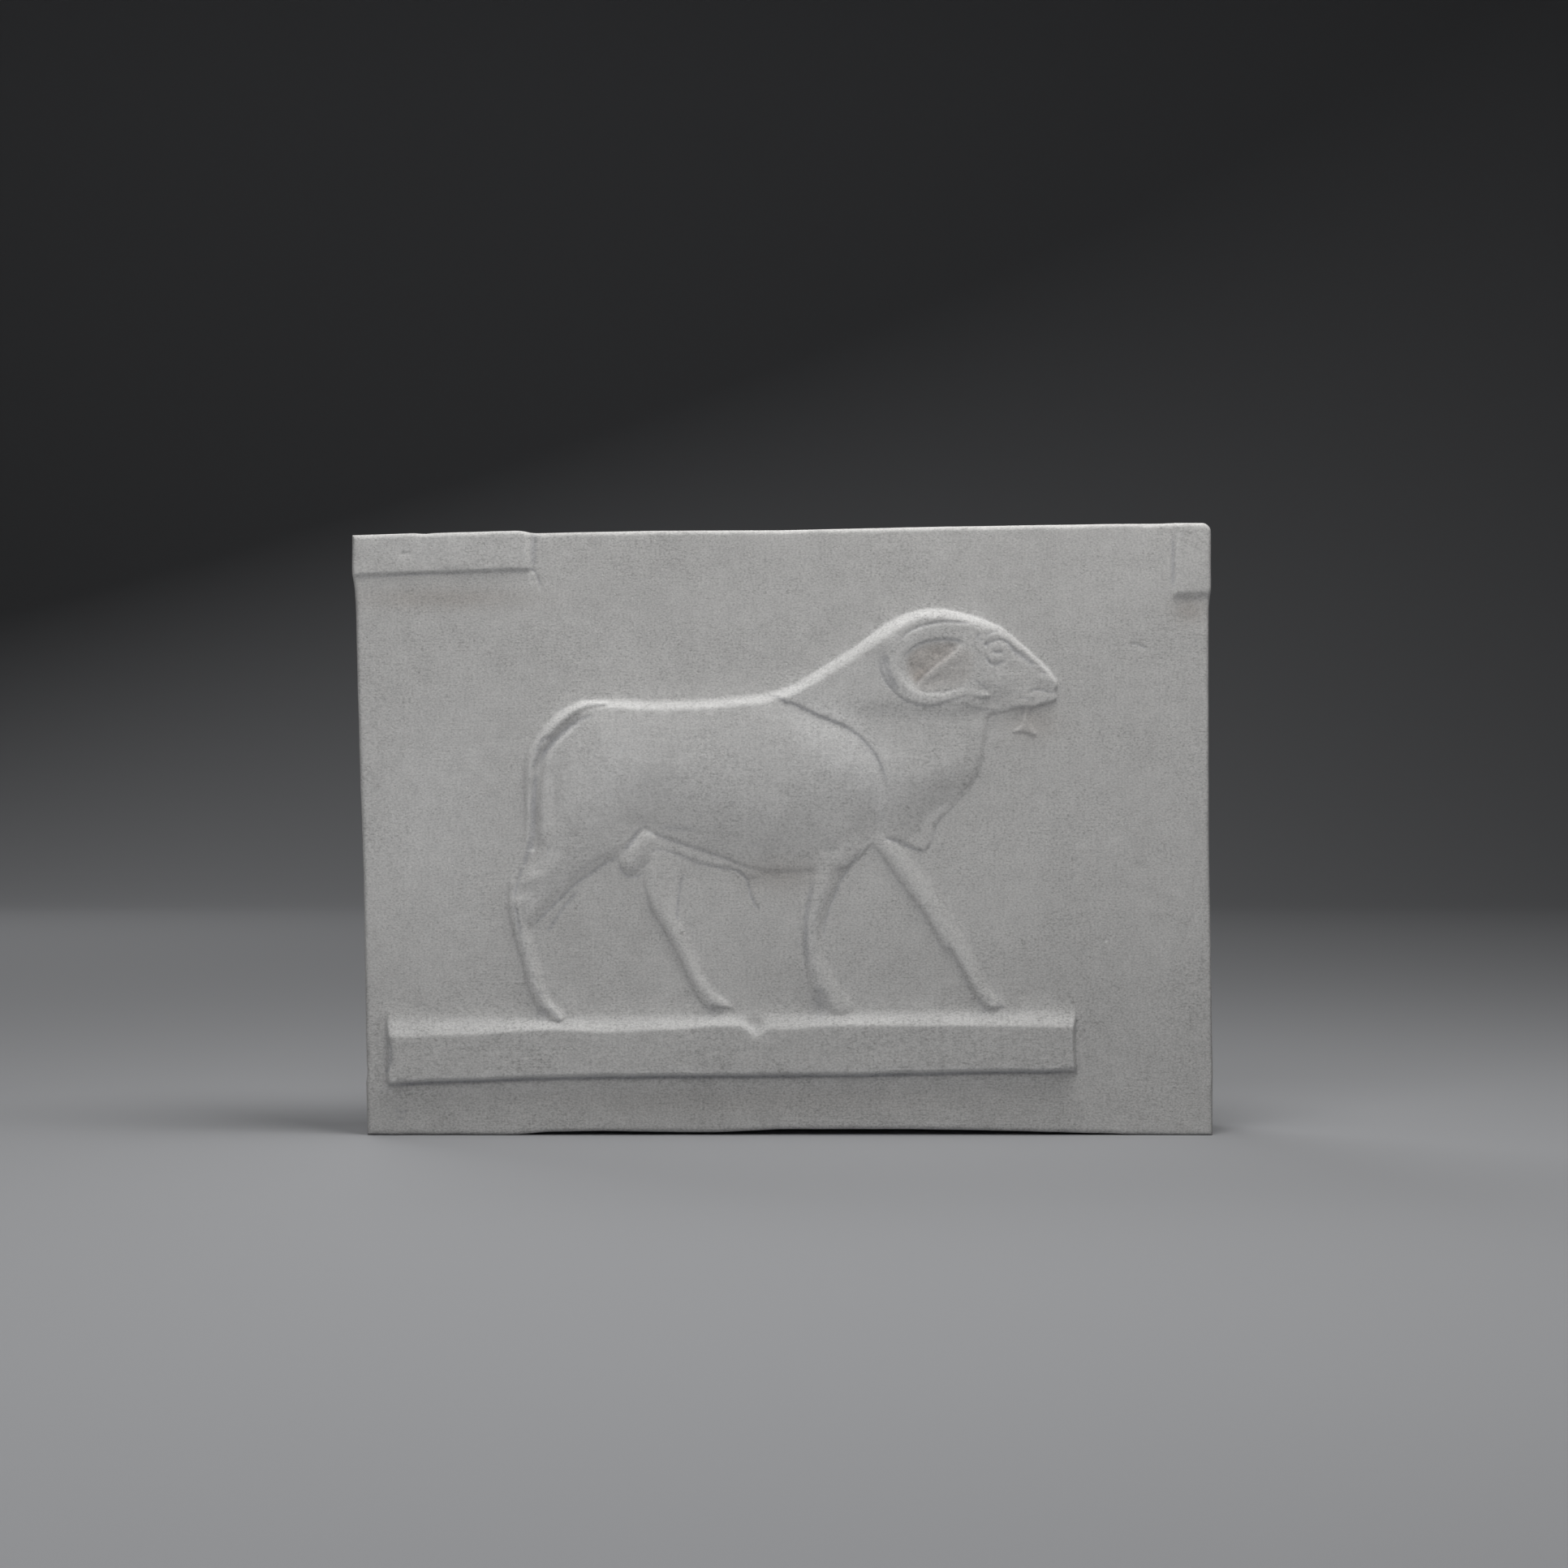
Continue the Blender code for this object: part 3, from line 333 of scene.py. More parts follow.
# %% Far legs
def carve_far_legs(c):
    fore_left = [(15, 60), (18.5, 56.5), (20.3, 54.3), (22.5, 51.3), (24.9, 47.9), (27.1, 45.2),
                 (28.7, 42.9), (30.2, 40.2), (31.5, 37.6), (32.6, 36.6), (33.5, 36.6), (34.6, 34.6),
                 (36, 31.9), (37.5, 29.2), (38.8, 26.9), (40.3, 24.8)]
    fore_crest = [(17.6, 61.5), (20.2, 58), (22, 55.2), (24.8, 51), (28, 46.3), (30.4, 42.2),
                  (32.7, 38.8), (35.4, 35), (37.6, 31), (39.7, 27.7), (42, 25.2)]
    fore_right = [(22, 61.5), (24, 58.5), (25.8, 56.5), (28.2, 53), (31.4, 49.3), (34.2, 45.3),
                  (36.2, 41.5), (37.9, 38), (39, 35), (40.4, 32), (42.2, 29), (44.2, 27),
                  (46.5, 25)]
    hind_left = [(-26, 60), (-26.5, 52.5), (-26.6, 48.9), (-25.9, 46.5), (-25.2, 44), (-23.5, 41.5),
                 (-21.9, 38.8), (-20.3, 35.7), (-18.9, 32.8), (-17.4, 29.5), (-16, 26.8),
                 (-14.4, 24.8)]
    hind_crest = [(-24.8, 61), (-25.1, 55), (-25.1, 52), (-24.9, 48.5), (-23.9, 45.2),
                  (-21.7, 41.4), (-19.6, 37.4), (-17.8, 33.5), (-16, 30), (-14, 27.5),
                  (-11.9, 25.2)]
    hind_right = [(-17.8, 61), (-18.2, 55), (-18.7, 52.5), (-19.3, 48.5), (-19.4, 44.2),
                  (-17.6, 40), (-16.1, 36), (-14.6, 32.5), (-13.2, 29.9), (-11, 27.3), (-8, 25)]
    fore_tops = (0.5, 0.8, 0.95, 0.95, 0.95, 0.9, 0.9, 0.9, 0.9)
    hind_tops = (0.5, 0.65, 0.85, 0.9, 0.95, 0.9, 0.9, 0.9)
    c.ridge(fore_left, fore_crest, fore_right, fore_tops, (0.0, 0.9))
    c.ridge(hind_left, hind_crest, hind_right, hind_tops, (0.0, 0.8))
    c.cut([(-18.7, 52.5), (-19.6, 48.5), (-20.1, 44), (-20, 41.5)], (0.1, 0.14, 0.08), 0.28)
    # The ground sinks a little beside each crisp wall.
    beside = 1.8
    for wall in (fore_left[2:], hind_left[2:]):
        sunk = c.stroke([(x - beside, z) for x, z in wall], (0.03, 0.06, 0.12), beside)
        c.height -= sunk * (c.height <= 0)


print("far legs: two ridges and the line of the hind shank")

# %% [markdown]
# ## The low sheath under the belly
# A shallow field that the belly overlaps. A fine line hangs from its tip onto the ground.

# %% Sheath
SHEATH_LEVEL = 0.38


def carve_sheath(c):
    outline = [(-27, 60), (-25.2, 55.2), (-24.2, 56), (-22, 55.7), (-19, 54.7), (-16, 53.5),
               (-12, 52.6), (-9, 52.2), (-7.3, 51.2), (-6, 50.4), (-4.6, 50.6), (-3, 52.5),
               (-10, 56), (-20, 61)]
    c.lift(SHEATH_LEVEL, c.field(outline, 0.9, 0.3))
    c.cut([(-25.2, 55.1), (-24.3, 56), (-22, 55.8), (-19, 54.8), (-16, 53.5), (-12, 52.6),
           (-9, 52.2), (-7.5, 51.4), (-6.5, 50.2), (-6, 48.5), (-5.4, 46.5), (-4.6, 45),
           (-3.7, 44.5)],
          (0.1, 0.08, 0.08, 0.12, 0.2, 0.2, 0.2), (0.28, 0.28, 0.3), fade=0.06)


print("sheath and its line")

# %% [markdown]
# ## The whole animal
# Tail to nose, the ram is one field with one outline, so that the light runs unbroken along its
# back, neck and crown. Inside it, three levels meet. The trunk stands over the neck along the
# cape line, and the head stands over the neck along the jaw. Each level is a share of the whole,
# so nothing has to be fitted where they end. The muscles are soft swellings over these levels.

# %% Outline of the animal
BACK = [(-38.5, 85.2), (-33, 86), (-25.7, 85.6), (-16.1, 85.8), (-8.9, 86.4), (-1.5, 87.3),
        (3.2, 89.1), (9.7, 92.8), (16, 96.9)]
CROWN = [(20, 99.9), (22, 101.2), (24, 102.3), (26, 103.1), (28, 103.6), (30, 103.6), (32, 103.4),
         (34, 103), (36, 102.5), (38, 102), (40, 101.4), (42, 100.6), (44, 99.5), (46, 97.9),
         (48, 96.1), (50, 94.3), (52, 92.4), (53.6, 90.6), (54.6, 89), (54.6, 88), (54.2, 87.2)]
JAW = [(54.4, 86), (54.1, 85.2), (52.9, 84.8), (51.5, 84.4), (50, 83.9), (48, 83.9), (46, 83.7),
       (44.4, 83.1), (43, 82.8), (41.9, 82.6)]
CHEST = [(41.2, 81.2), (40.7, 78.5), (40.2, 75), (39.6, 72), (38.4, 69.3), (36.3, 66.8),
         (33.8, 64.1), (31.3, 61.6), (30.3, 59.6), (29.9, 57.6), (28.6, 55.6), (28.6, 55.6),
         (26, 56.5), (24, 57.5), (22, 58.2), (19.8, 58.4)]
BELLY = [(17.4, 56.2), (13.5, 52.6), (6.8, 51.9), (4, 51.8), (0, 51.7), (-4, 52.1), (-8, 53.2),
         (-12, 54.9), (-16, 56.2), (-20, 57.5), (-24.5, 59.2), (-26.6, 60.2)]
HAUNCH = [(-29, 57.7), (-31.3, 54.4), (-34, 53.2), (-37, 51.2), (-40, 49.1), (-43, 46.2),
          (-46, 43.3), (-48.6, 40.7), (-51.2, 42.5), (-51.8, 46.5), (-50.4, 51), (-48.6, 55.5),
          (-47.9, 58.5), (-47.8, 66), (-47.2, 71), (-46.2, 74.6), (-44.2, 78.2), (-41.2, 81.8)]
ANIMAL = BACK + CROWN + JAW + CHEST + BELLY + HAUNCH
CAPE_LINE = [(-1.6, 86.6), (-0.6, 86.1), (0.6, 85.5), (1.4, 85), (2.3, 84.9), (4, 84.2), (8, 82.3),
             (12, 80.7), (14, 79.6), (16, 78), (18, 75.9), (19.4, 73.7), (20.4, 71.4), (21, 69),
             (21.1, 65), (20.6, 61.5), (19.2, 58.2)]
TRUNK = BACK[:6] + CAPE_LINE + BELLY + HAUNCH
JAW_LINE = [(42, 83.3), (39.5, 83.4), (38, 83.8), (36.6, 84.5), (33, 85.6), (28, 87), (24, 90),
            (22.6, 94), (24, 98)]
BEYOND_TRUNK = [(14, 40), (-60, 30), (-60, 100), (-14, 98), (-5, 90)]
BEYOND_HEAD = [(26, 112), (64, 104), (64, 76), (48, 76)]

# %% Levels of the animal
NECK_LEVEL, NECK_SWELL = 0.4, 1.35  # at the breast, and how much more it stands out above
THROAT_DROP, CROOK_DROP, NAPE_RISE = 1.15, 0.4, 0.5  # by the throat, under the horn, above it
FACE_LEVEL, MUZZLE_DROP, JOWL_DROP = 1.75, 1.0, 0.75
TRUNK_LEVEL, BELLY_DROP, FLANK_SWELL = 1.3, 0.75, 1.1
MIDDLE_LINE = ((-60, 78), (0, 78), (16, 84), (24, 92), (40, 90.5), (54, 87.6))
BELLY_LINE = ((-52, 42), (-40, 50), (-30, 57), (-24, 59), (-8, 53.5), (0, 51.7), (22, 56))
BACK_BAND = [(-37, 85.4), (-25, 85.4), (-8, 86.2), (0, 87.4), (4, 89.2)]


def behind_thigh(c):
    return ease(-c.X, 28, 33) * (1 - ease(c.Z, 55, 60))


def animal_rim(c):
    """How broadly, and how softly, the outline rolls over: broad above, crisp at belly and jaw."""
    middle = along(c.x, MIDDLE_LINE, 2)
    upper = ease(c.Z, middle - 3, middle + 3)
    rear = ease(-c.X, 38, 46) * (1 - ease(c.Z, 78, 84)) * ease(c.Z, 50, 58)
    chest = ease(c.X, 28, 33) * (1 - ease(c.Z, 81.5, 83.8)) * ease(c.Z, 57, 64)
    jaw = ease(c.X, 36, 39) * (1 - upper) * (1 - chest)
    nape = ease(c.X, 2, 14) * (1 - ease(c.X, 22, 30))
    rounding = 0.7 + upper * (1.6 + 0.3 * nape - 1.5 * ease(c.X, 40, 50))
    rounding = rounding + 0.8 * rear + 2.2 * behind_thigh(c) + 0.7 * chest - 0.4 * jaw
    soft = 0.3 + upper * (0.5 * (1 - ease(c.X, 2, 10)) - 0.12 * ease(c.X, 30, 34))
    soft = soft + 0.35 * upper * ease(c.X, 20, 26) * (1 - ease(c.X, 29, 33))
    return np.maximum(rounding, 0.4), soft


def neck_level(c):
    """The neck swells toward the chest and sinks a little under the horn."""
    neck = NECK_LEVEL + NECK_SWELL * ease(c.Z + 0.25 * (30 - c.X), 54, 73)
    throat = THROAT_DROP - 0.45 * ease(c.Z, 72, 79) * (1 - ease(c.Z, 80, 84))
    throat = throat * ease(c.X, 22, 30) * (1 - ease(c.Z, 84, 89))
    neck = np.maximum(neck - throat * (1 - c.field(ANIMAL, 9, 0.5)), NECK_LEVEL)
    under_horn = NAPE_RISE * ease(c.Z, 81.5, 86) - CROOK_DROP * ease(c.Z, 70, 81.5)
    return neck + under_horn * ease(c.X, 10, 20)


def face_level(c):
    jowl = ease(c.X, 36, 42) * (1 - ease(c.X, 43, 48)) * (1 - ease(c.Z, 83, 90))
    return FACE_LEVEL - MUZZLE_DROP * ease(c.X, 36, 50) - JOWL_DROP * jowl


def trunk_level(c):
    over_belly = 1 - ease(c.Z - along(c.x, BELLY_LINE, 3), -2, 14)
    drop = (BELLY_DROP - 0.05 * behind_thigh(c)) * over_belly
    return TRUNK_LEVEL - drop + FLANK_SWELL * c.field(TRUNK, 16) ** 2


def carve_animal(c):
    whole = c.field(ANIMAL, *animal_rim(c))
    c.add(BACK_BAND, 0.2, 2.0)
    cape = c.field(CAPE_LINE + BEYOND_TRUNK, 0.8, 0.3)
    head = c.field(JAW_LINE + BEYOND_HEAD, 1.4, 0.4)
    neck = neck_level(c)
    c.lift(neck + (trunk_level(c) - neck) * cape + (face_level(c) - neck) * head, whole)
    c.height += c.mounds(*MUSCLES) * c.mask(ANIMAL, 0.7)
    c.cut(CAPE_LINE[:14], (0.06, 0.13, 0.15, 0.15, 0.15, 0.12, 0.08), 0.28, fade=0.06)
    c.cut([(19.8, 58.6), (22, 58), (24, 57.3), (26, 56.3), (28.6, 55.4)], 0.12, CHISEL)
    c.cut([(28.9, 55.4), (29.9, 57.6), (31.3, 61.6), (34, 64.3), (38.4, 69.3)],
          (0.06, 0.05, 0.03), GRAVER)


# %% Muscles and folds
MUSCLES = (
    ((9, 73.5), (12, 8.5), -38, 0.6),  # shoulder
    ((10.5, 76.5), (9, 4.5), -40, 0.22),  # its upper part
    ((17.5, 60.5), (6, 5.5), 0, -0.35),  # hollow over the near foreleg
    ((12.5, 65.3), (4.5, 3), 25, -0.15),
    ((-39, 69), (6.5, 13), 10, 0.12),  # haunch
    ((-36, 78), (4, 7), 30, 0.12),  # hip
    ((-25, 66), (4.5, 3.2), -15, -0.15),  # hollow of the flank
    ((-27.5, 61), (2.6, 2.2), 20, -0.25),  # and the fold below it
    ((-44.2, 65), (0.9, 7), 0, -0.24),  # groove behind the thigh
    ((-46.6, 64), (1.0, 8), 0, 0.06),
    ((10.8, 58.3), (2.3, 4.5), -18, 0.25),  # elbow
    ((20.8, 96.8), (3, 2.6), 30, 0.3),  # root of the horn
)


def carve_folds(c):
    """The finer lines of the trunk."""
    # The edge of the shoulder, and small lines on the flank and the back.
    c.add([(20.4, 67.5), (20.5, 64.5), (20, 61.5)], 0.08, 0.6, fade=0.4)
    c.cut([(-26, 61), (-22, 60.4), (-18, 60.1), (-14, 59.4)], 0.07, 0.7, fade=0.35)
    c.cut([(-7, 57.4), (-3, 57.2)], 0.05, GOUGE, fade=0.4)
    c.cut([(-20.5, 82.9), (-18, 83.1), (-16.5, 83.5)], 0.05, 0.35, fade=0.4)
    # The front of the thigh, then its lower edge with a second line inside it.
    c.add([(-30.8, 64), (-29.5, 67.4), (-27.6, 69.2), (-25, 69.3)], 0.08, 1.0, fade=0.45)
    c.cut([(-31.6, 54.6), (-34, 53.5), (-37, 51.5), (-40, 49.4), (-43, 46.5), (-46, 43.6),
           (-48.2, 41.2)],
          (0.12, 0.16, 0.16, 0.14, 0.14), GRAVER, fade=0.1)
    c.cut([(-33.2, 55.3), (-36.5, 53.8), (-39, 52.1), (-41.5, 49.8)], 0.06, 0.35, fade=0.4)
    # The belly's edge, the crease where it meets the thigh, and one behind the thigh.
    c.cut([(-26.4, 60), (-24.5, 59.1), (-20, 57.4), (-12, 54.8), (-4, 52), (4, 51.7), (6.8, 51.8)],
          (0.08, 0.1, 0.09, 0.06, 0.04, 0.03), GRAVER, fade=0.06)
    c.cut([(-31, 55.2), (-29.6, 57), (-28.2, 59), (-27, 60.6)], 0.13, 0.5, fade=0.3)
    c.cut([(-44.4, 58.7), (-45.3, 56), (-46.3, 53.4)], 0.07, CHISEL, fade=0.4)


print("one outline of", len(ANIMAL), "points,", len(MUSCLES), "muscles and hollows")

# %% [markdown]
# ## The near legs
# These stand highest. The hoofs are short wedges that turn toward the light, each with a dark
# nick behind the pastern.

# %% Near legs
def carve_near_legs(c):
    hind_left = [(-50.5, 56), (-51.5, 50), (-53.4, 46), (-53.1, 43), (-52.2, 39), (-51, 35),
                 (-49.9, 31), (-48.8, 27), (-47.4, 24.6), (-46, 23)]
    hind_crest = [(-47.8, 56), (-48.6, 50), (-51, 46), (-51.2, 43), (-50.4, 39), (-49.4, 35),
                  (-48.4, 31), (-47.4, 28), (-46, 25.6), (-44.4, 23.6), (-43.2, 22.4)]
    hind_right = [(-45, 56), (-45.6, 50), (-47.5, 45), (-48.3, 41.5), (-47.8, 38), (-46.9, 34),
                  (-46, 30.5), (-45, 27.5), (-43.4, 25.6), (-41.4, 23.4)]
    fore_left = [(8.5, 65), (7.5, 60), (6.7, 55), (5.9, 50), (5.2, 45), (4.5, 41), (4.7, 36),
                 (5.4, 31), (6, 27.6), (6.5, 24.8), (6.7, 22.8)]
    fore_crest = [(11.5, 67), (10.5, 61), (9.6, 56), (8.8, 51), (8, 47), (6.9, 43.5), (6.2, 40),
                  (6.3, 36.5), (6.8, 33.5), (7.5, 30.6), (8.6, 28.2), (9.5, 25.5), (9.8, 22.8)]
    fore_right = [(16.5, 65), (16.5, 60), (15.6, 56), (13.1, 52.2), (11.4, 49), (10.2, 46),
                  (9.1, 43), (8.7, 40), (8.9, 37), (9.5, 34), (10.8, 31), (12.8, 28.2),
                  (14.8, 25.8), (16, 22.8)]
    hind_tops = (0.7, 1.1, 1.25, 1.15, 1.05, 1.0, 0.95, 1.0, 1.2)
    fore_tops = (0.8, 1.2, 1.35, 1.35, 1.3, 1.3, 1.3, 1.25, 1.1, 0.9, 0.7)
    c.ridge(hind_left, hind_crest, hind_right, hind_tops, (0.1, 0.7))
    c.ridge(fore_left, fore_crest, fore_right, fore_tops, (0.2, 0.5))
    # The pouch between the thighs, and the line round it.
    c.limb([(-26.3, 57.8), (-27.8, 55.6), (-29.2, 53.6)], (2.1, 2.8, 2.4), (1.1, 1.2, 1.1), 0.35)
    c.cut([(-31.5, 54.7), (-31.2, 52.3), (-29.8, 50.9), (-27.6, 50.9),
           (-26.3, 52.2)], 0.12, CHISEL, fade=0.35)
    # Both sides of the near foreleg are cut in.
    c.cut([(17.3, 57.2), (15.3, 55), (13.4, 52.1), (11.8, 49.3), (10.6, 46.3), (9.5, 43.5),
           (8.8, 40), (8.9, 37.5)],
          (0.06, 0.1, 0.11, 0.1, 0.06), 0.26)
    c.cut([(6.9, 51.5), (6.3, 48.5), (5.8, 46), (5.3, 43), (5.1, 40), (5.2, 36),
           (5.7, 32)], 0.18, 0.45)


# %% Hock and hoofs
def carve_hoofs(c):
    """Each foot has a shaded block behind and a lit wedge before."""
    # The knob of the hock, and the tendon under it.
    c.swell(((-48.4, 50.4), (1.4, 1.5), -20, 0.35), ((-49.3, 47), (0.8, 3.0), -12, 0.16),
            ((-45.8, 51.6), (2.4, 0.9), 30, 0.15))
    # Near hind foot.
    c.swell(((-46.2, 23.9), (0.9, 1.1), 20, -0.4), ((-44.6, 24.4), (0.7, 1.2), 35, 0.25),
            ((-43.2, 22.7), (0.5, 0.8), 40, 0.2), ((-41, 24.2), (2.2, 2.6), 40, 0.32))
    c.cut([(-45.6, 26.3), (-44.9, 24.6), (-43.7, 23.3), (-42.6, 21.6)],
          (0.05, 0.16, 0.2, 0.25), HAIR, fade=0.3)
    c.cut([(-48.2, 28.2), (-47, 27.8), (-45.8, 28.4)], 0.1, GRAVER, fade=0.4)
    # Far hind foot.
    heel = [(-13.6, 25.4), (-12, 25.3), (-10.2, 24.1), (-9, 23.2), (-9.4, 22.7), (-12.4, 22.8),
            (-13.9, 23.6)]
    c.height -= 0.65 * c.field(heel, 0.7, 0.4)
    c.add([(-13, 28), (-11, 26), (-9, 24.4), (-6.8, 22.8)], (0.1, 0.25, 0.3, 0.25), 0.7, fade=0.3)
    c.swell(((-6.8, 24.4), (2, 2.8), 40, 0.3))
    # Near fore foot.
    heel = c.field([(6, 28.2), (9.3, 28.4), (9.8, 26), (9.9, 22.6), (7, 22.6), (6.2, 25)], 0.4, 0.2)
    c.height -= 0.6 * heel * ramp(28.8 - c.Z, 0, 5)
    c.cut([(6.7, 28.2), (7.8, 28.5), (9, 28.1)], 0.12, HAIR, fade=0.3)
    c.add([(10.2, 28.4), (10.8, 26.4), (11.6, 24.6), (12.6, 23)],
          (0.04, 0.1, 0.14, 0.12), 0.7, fade=0.3)
    c.swell(((13.8, 24.6), (2, 3), 35, 0.28))
    # Far fore foot.
    heel = [(38.8, 26.6), (40.2, 25.6), (42.6, 23.4), (41.6, 22.8), (39.4, 23.4), (38.3, 25)]
    c.height -= 0.5 * c.field(heel, 0.8, 0.4)
    c.cut([(40.2, 27), (41.1, 26.7), (42.2, 26.1)], 0.1, HAIR, fade=0.3)
    c.cut([(41.8, 26.5), (43.2, 25.7), (44, 24.8), (44.9, 23.3)],
          (0.08, 0.14, 0.18), 0.24, fade=0.3)
    c.add([(41.2, 25.8), (42.2, 24.9), (43.3, 23.7)], 0.14, 0.45, fade=0.3)
    c.swell(((46, 24.8), (1.8, 2.6), 30, 0.25))


print("near legs, and four hoofs")

# %% [markdown]
# ## The tail
# A rope of hair that leaves the croup, drops behind the thigh and ends in a tuft at the hock. The
# main rope is a limb. Its strands are thin ridges and cuts laid along it.

# %% The tail
def carve_tail(c):
    rope = [(-34, 84.8), (-38.5, 84), (-42, 82), (-45, 79.2), (-47.3, 76), (-48.7, 73),
            (-49.2, 69.5), (-49.3, 64), (-49.4, 59), (-50.2, 55.5), (-51.6, 51.5), (-52.6, 48),
            (-53, 45.5)]
    halves = (0.3, 1.6, 1.9, 1.95, 1.8, 1.6, 1.3, 1.05, 1.0, 1.2, 1.5, 1.2, 0.4)
    c.limb(rope, halves, (1.5, 1.6, 1.5, 1.3, 1.0, 0.7, 0.65, 0.75, 0.6), 0.7)
    # A deep cut under its root, which runs on as the line between tail and thigh.
    under = [(-35.3, 82.9), (-37, 82.4), (-38.8, 81.7), (-40.7, 80.5), (-42.2, 79.3), (-43.8, 77.9),
             (-45, 76.5), (-46, 75.3), (-46.7, 73.7), (-47.4, 72.2)]
    c.cut(under, (0.06, 0.12, 0.17, 0.2, 0.2, 0.17, 0.12), (0.4, 0.45, 0.45, 0.45, 0.4, 0.35))
    c.cut([(-47.6, 72), (-48.1, 69), (-48.4, 65), (-48.5, 60), (-48.9, 57.4), (-49.8, 54.2),
           (-50.6, 52)],
          (0.18, 0.28, 0.32, 0.32, 0.3, 0.25, 0.15), (0.35, 0.42, 0.45, 0.4))
    # The twist where the tail turns down.
    c.cut([(-44.2, 78), (-45.4, 78.1), (-46.5, 77.6), (-47.3, 76.3),
           (-48, 74.8)], (0.16, 0.22, 0.16, 0.14), 0.35)
    c.add([(-45.4, 77), (-46.2, 75.9), (-47.1, 74.2), (-48.3, 72)], 0.12, CHISEL)
    c.cut([(-46.6, 76.2), (-47.4, 74.4), (-48.8, 71.4)], 0.12, HAIR)
    c.swell(((-48.9, 71), (0.7, 2.0), 8, 0.18))
    # Strands of the tuft, a hole in it, and its shadow down the shank.
    c.cut([(-50.4, 53), (-51.3, 49.8), (-52.2, 46.2)], 0.18, 0.26)
    c.add([(-51.1, 54.6), (-52.5, 51.4), (-53.2, 48)], 0.12, GOUGE)
    c.add([(-50.4, 51.4), (-51.1, 48.6)], 0.12, CHISEL, fade=0.4)
    c.swell(((-50.4, 47.8), (0.55, 1.3), -25, -0.3))
    c.cut([(-51.9, 45.4), (-51.3, 42.2), (-50.6, 38.4)], (0.15, 0.2, 0.12), 0.32)


print("the tail is one rope with eight strands and cuts")

# %% [markdown]
# ## Horn, ear and face
# The horn is a curved ridge laid over the head from the brow round to the cheek. The ear lies in
# the hollow inside it. The face is all fine work: two lids round a slit, a fold that runs down
# the nose, the nostril, the mouth and a small beard.

# %% Horn and ear
EAR_DEEP, EAR_GRAIN = 0.42, 0.05


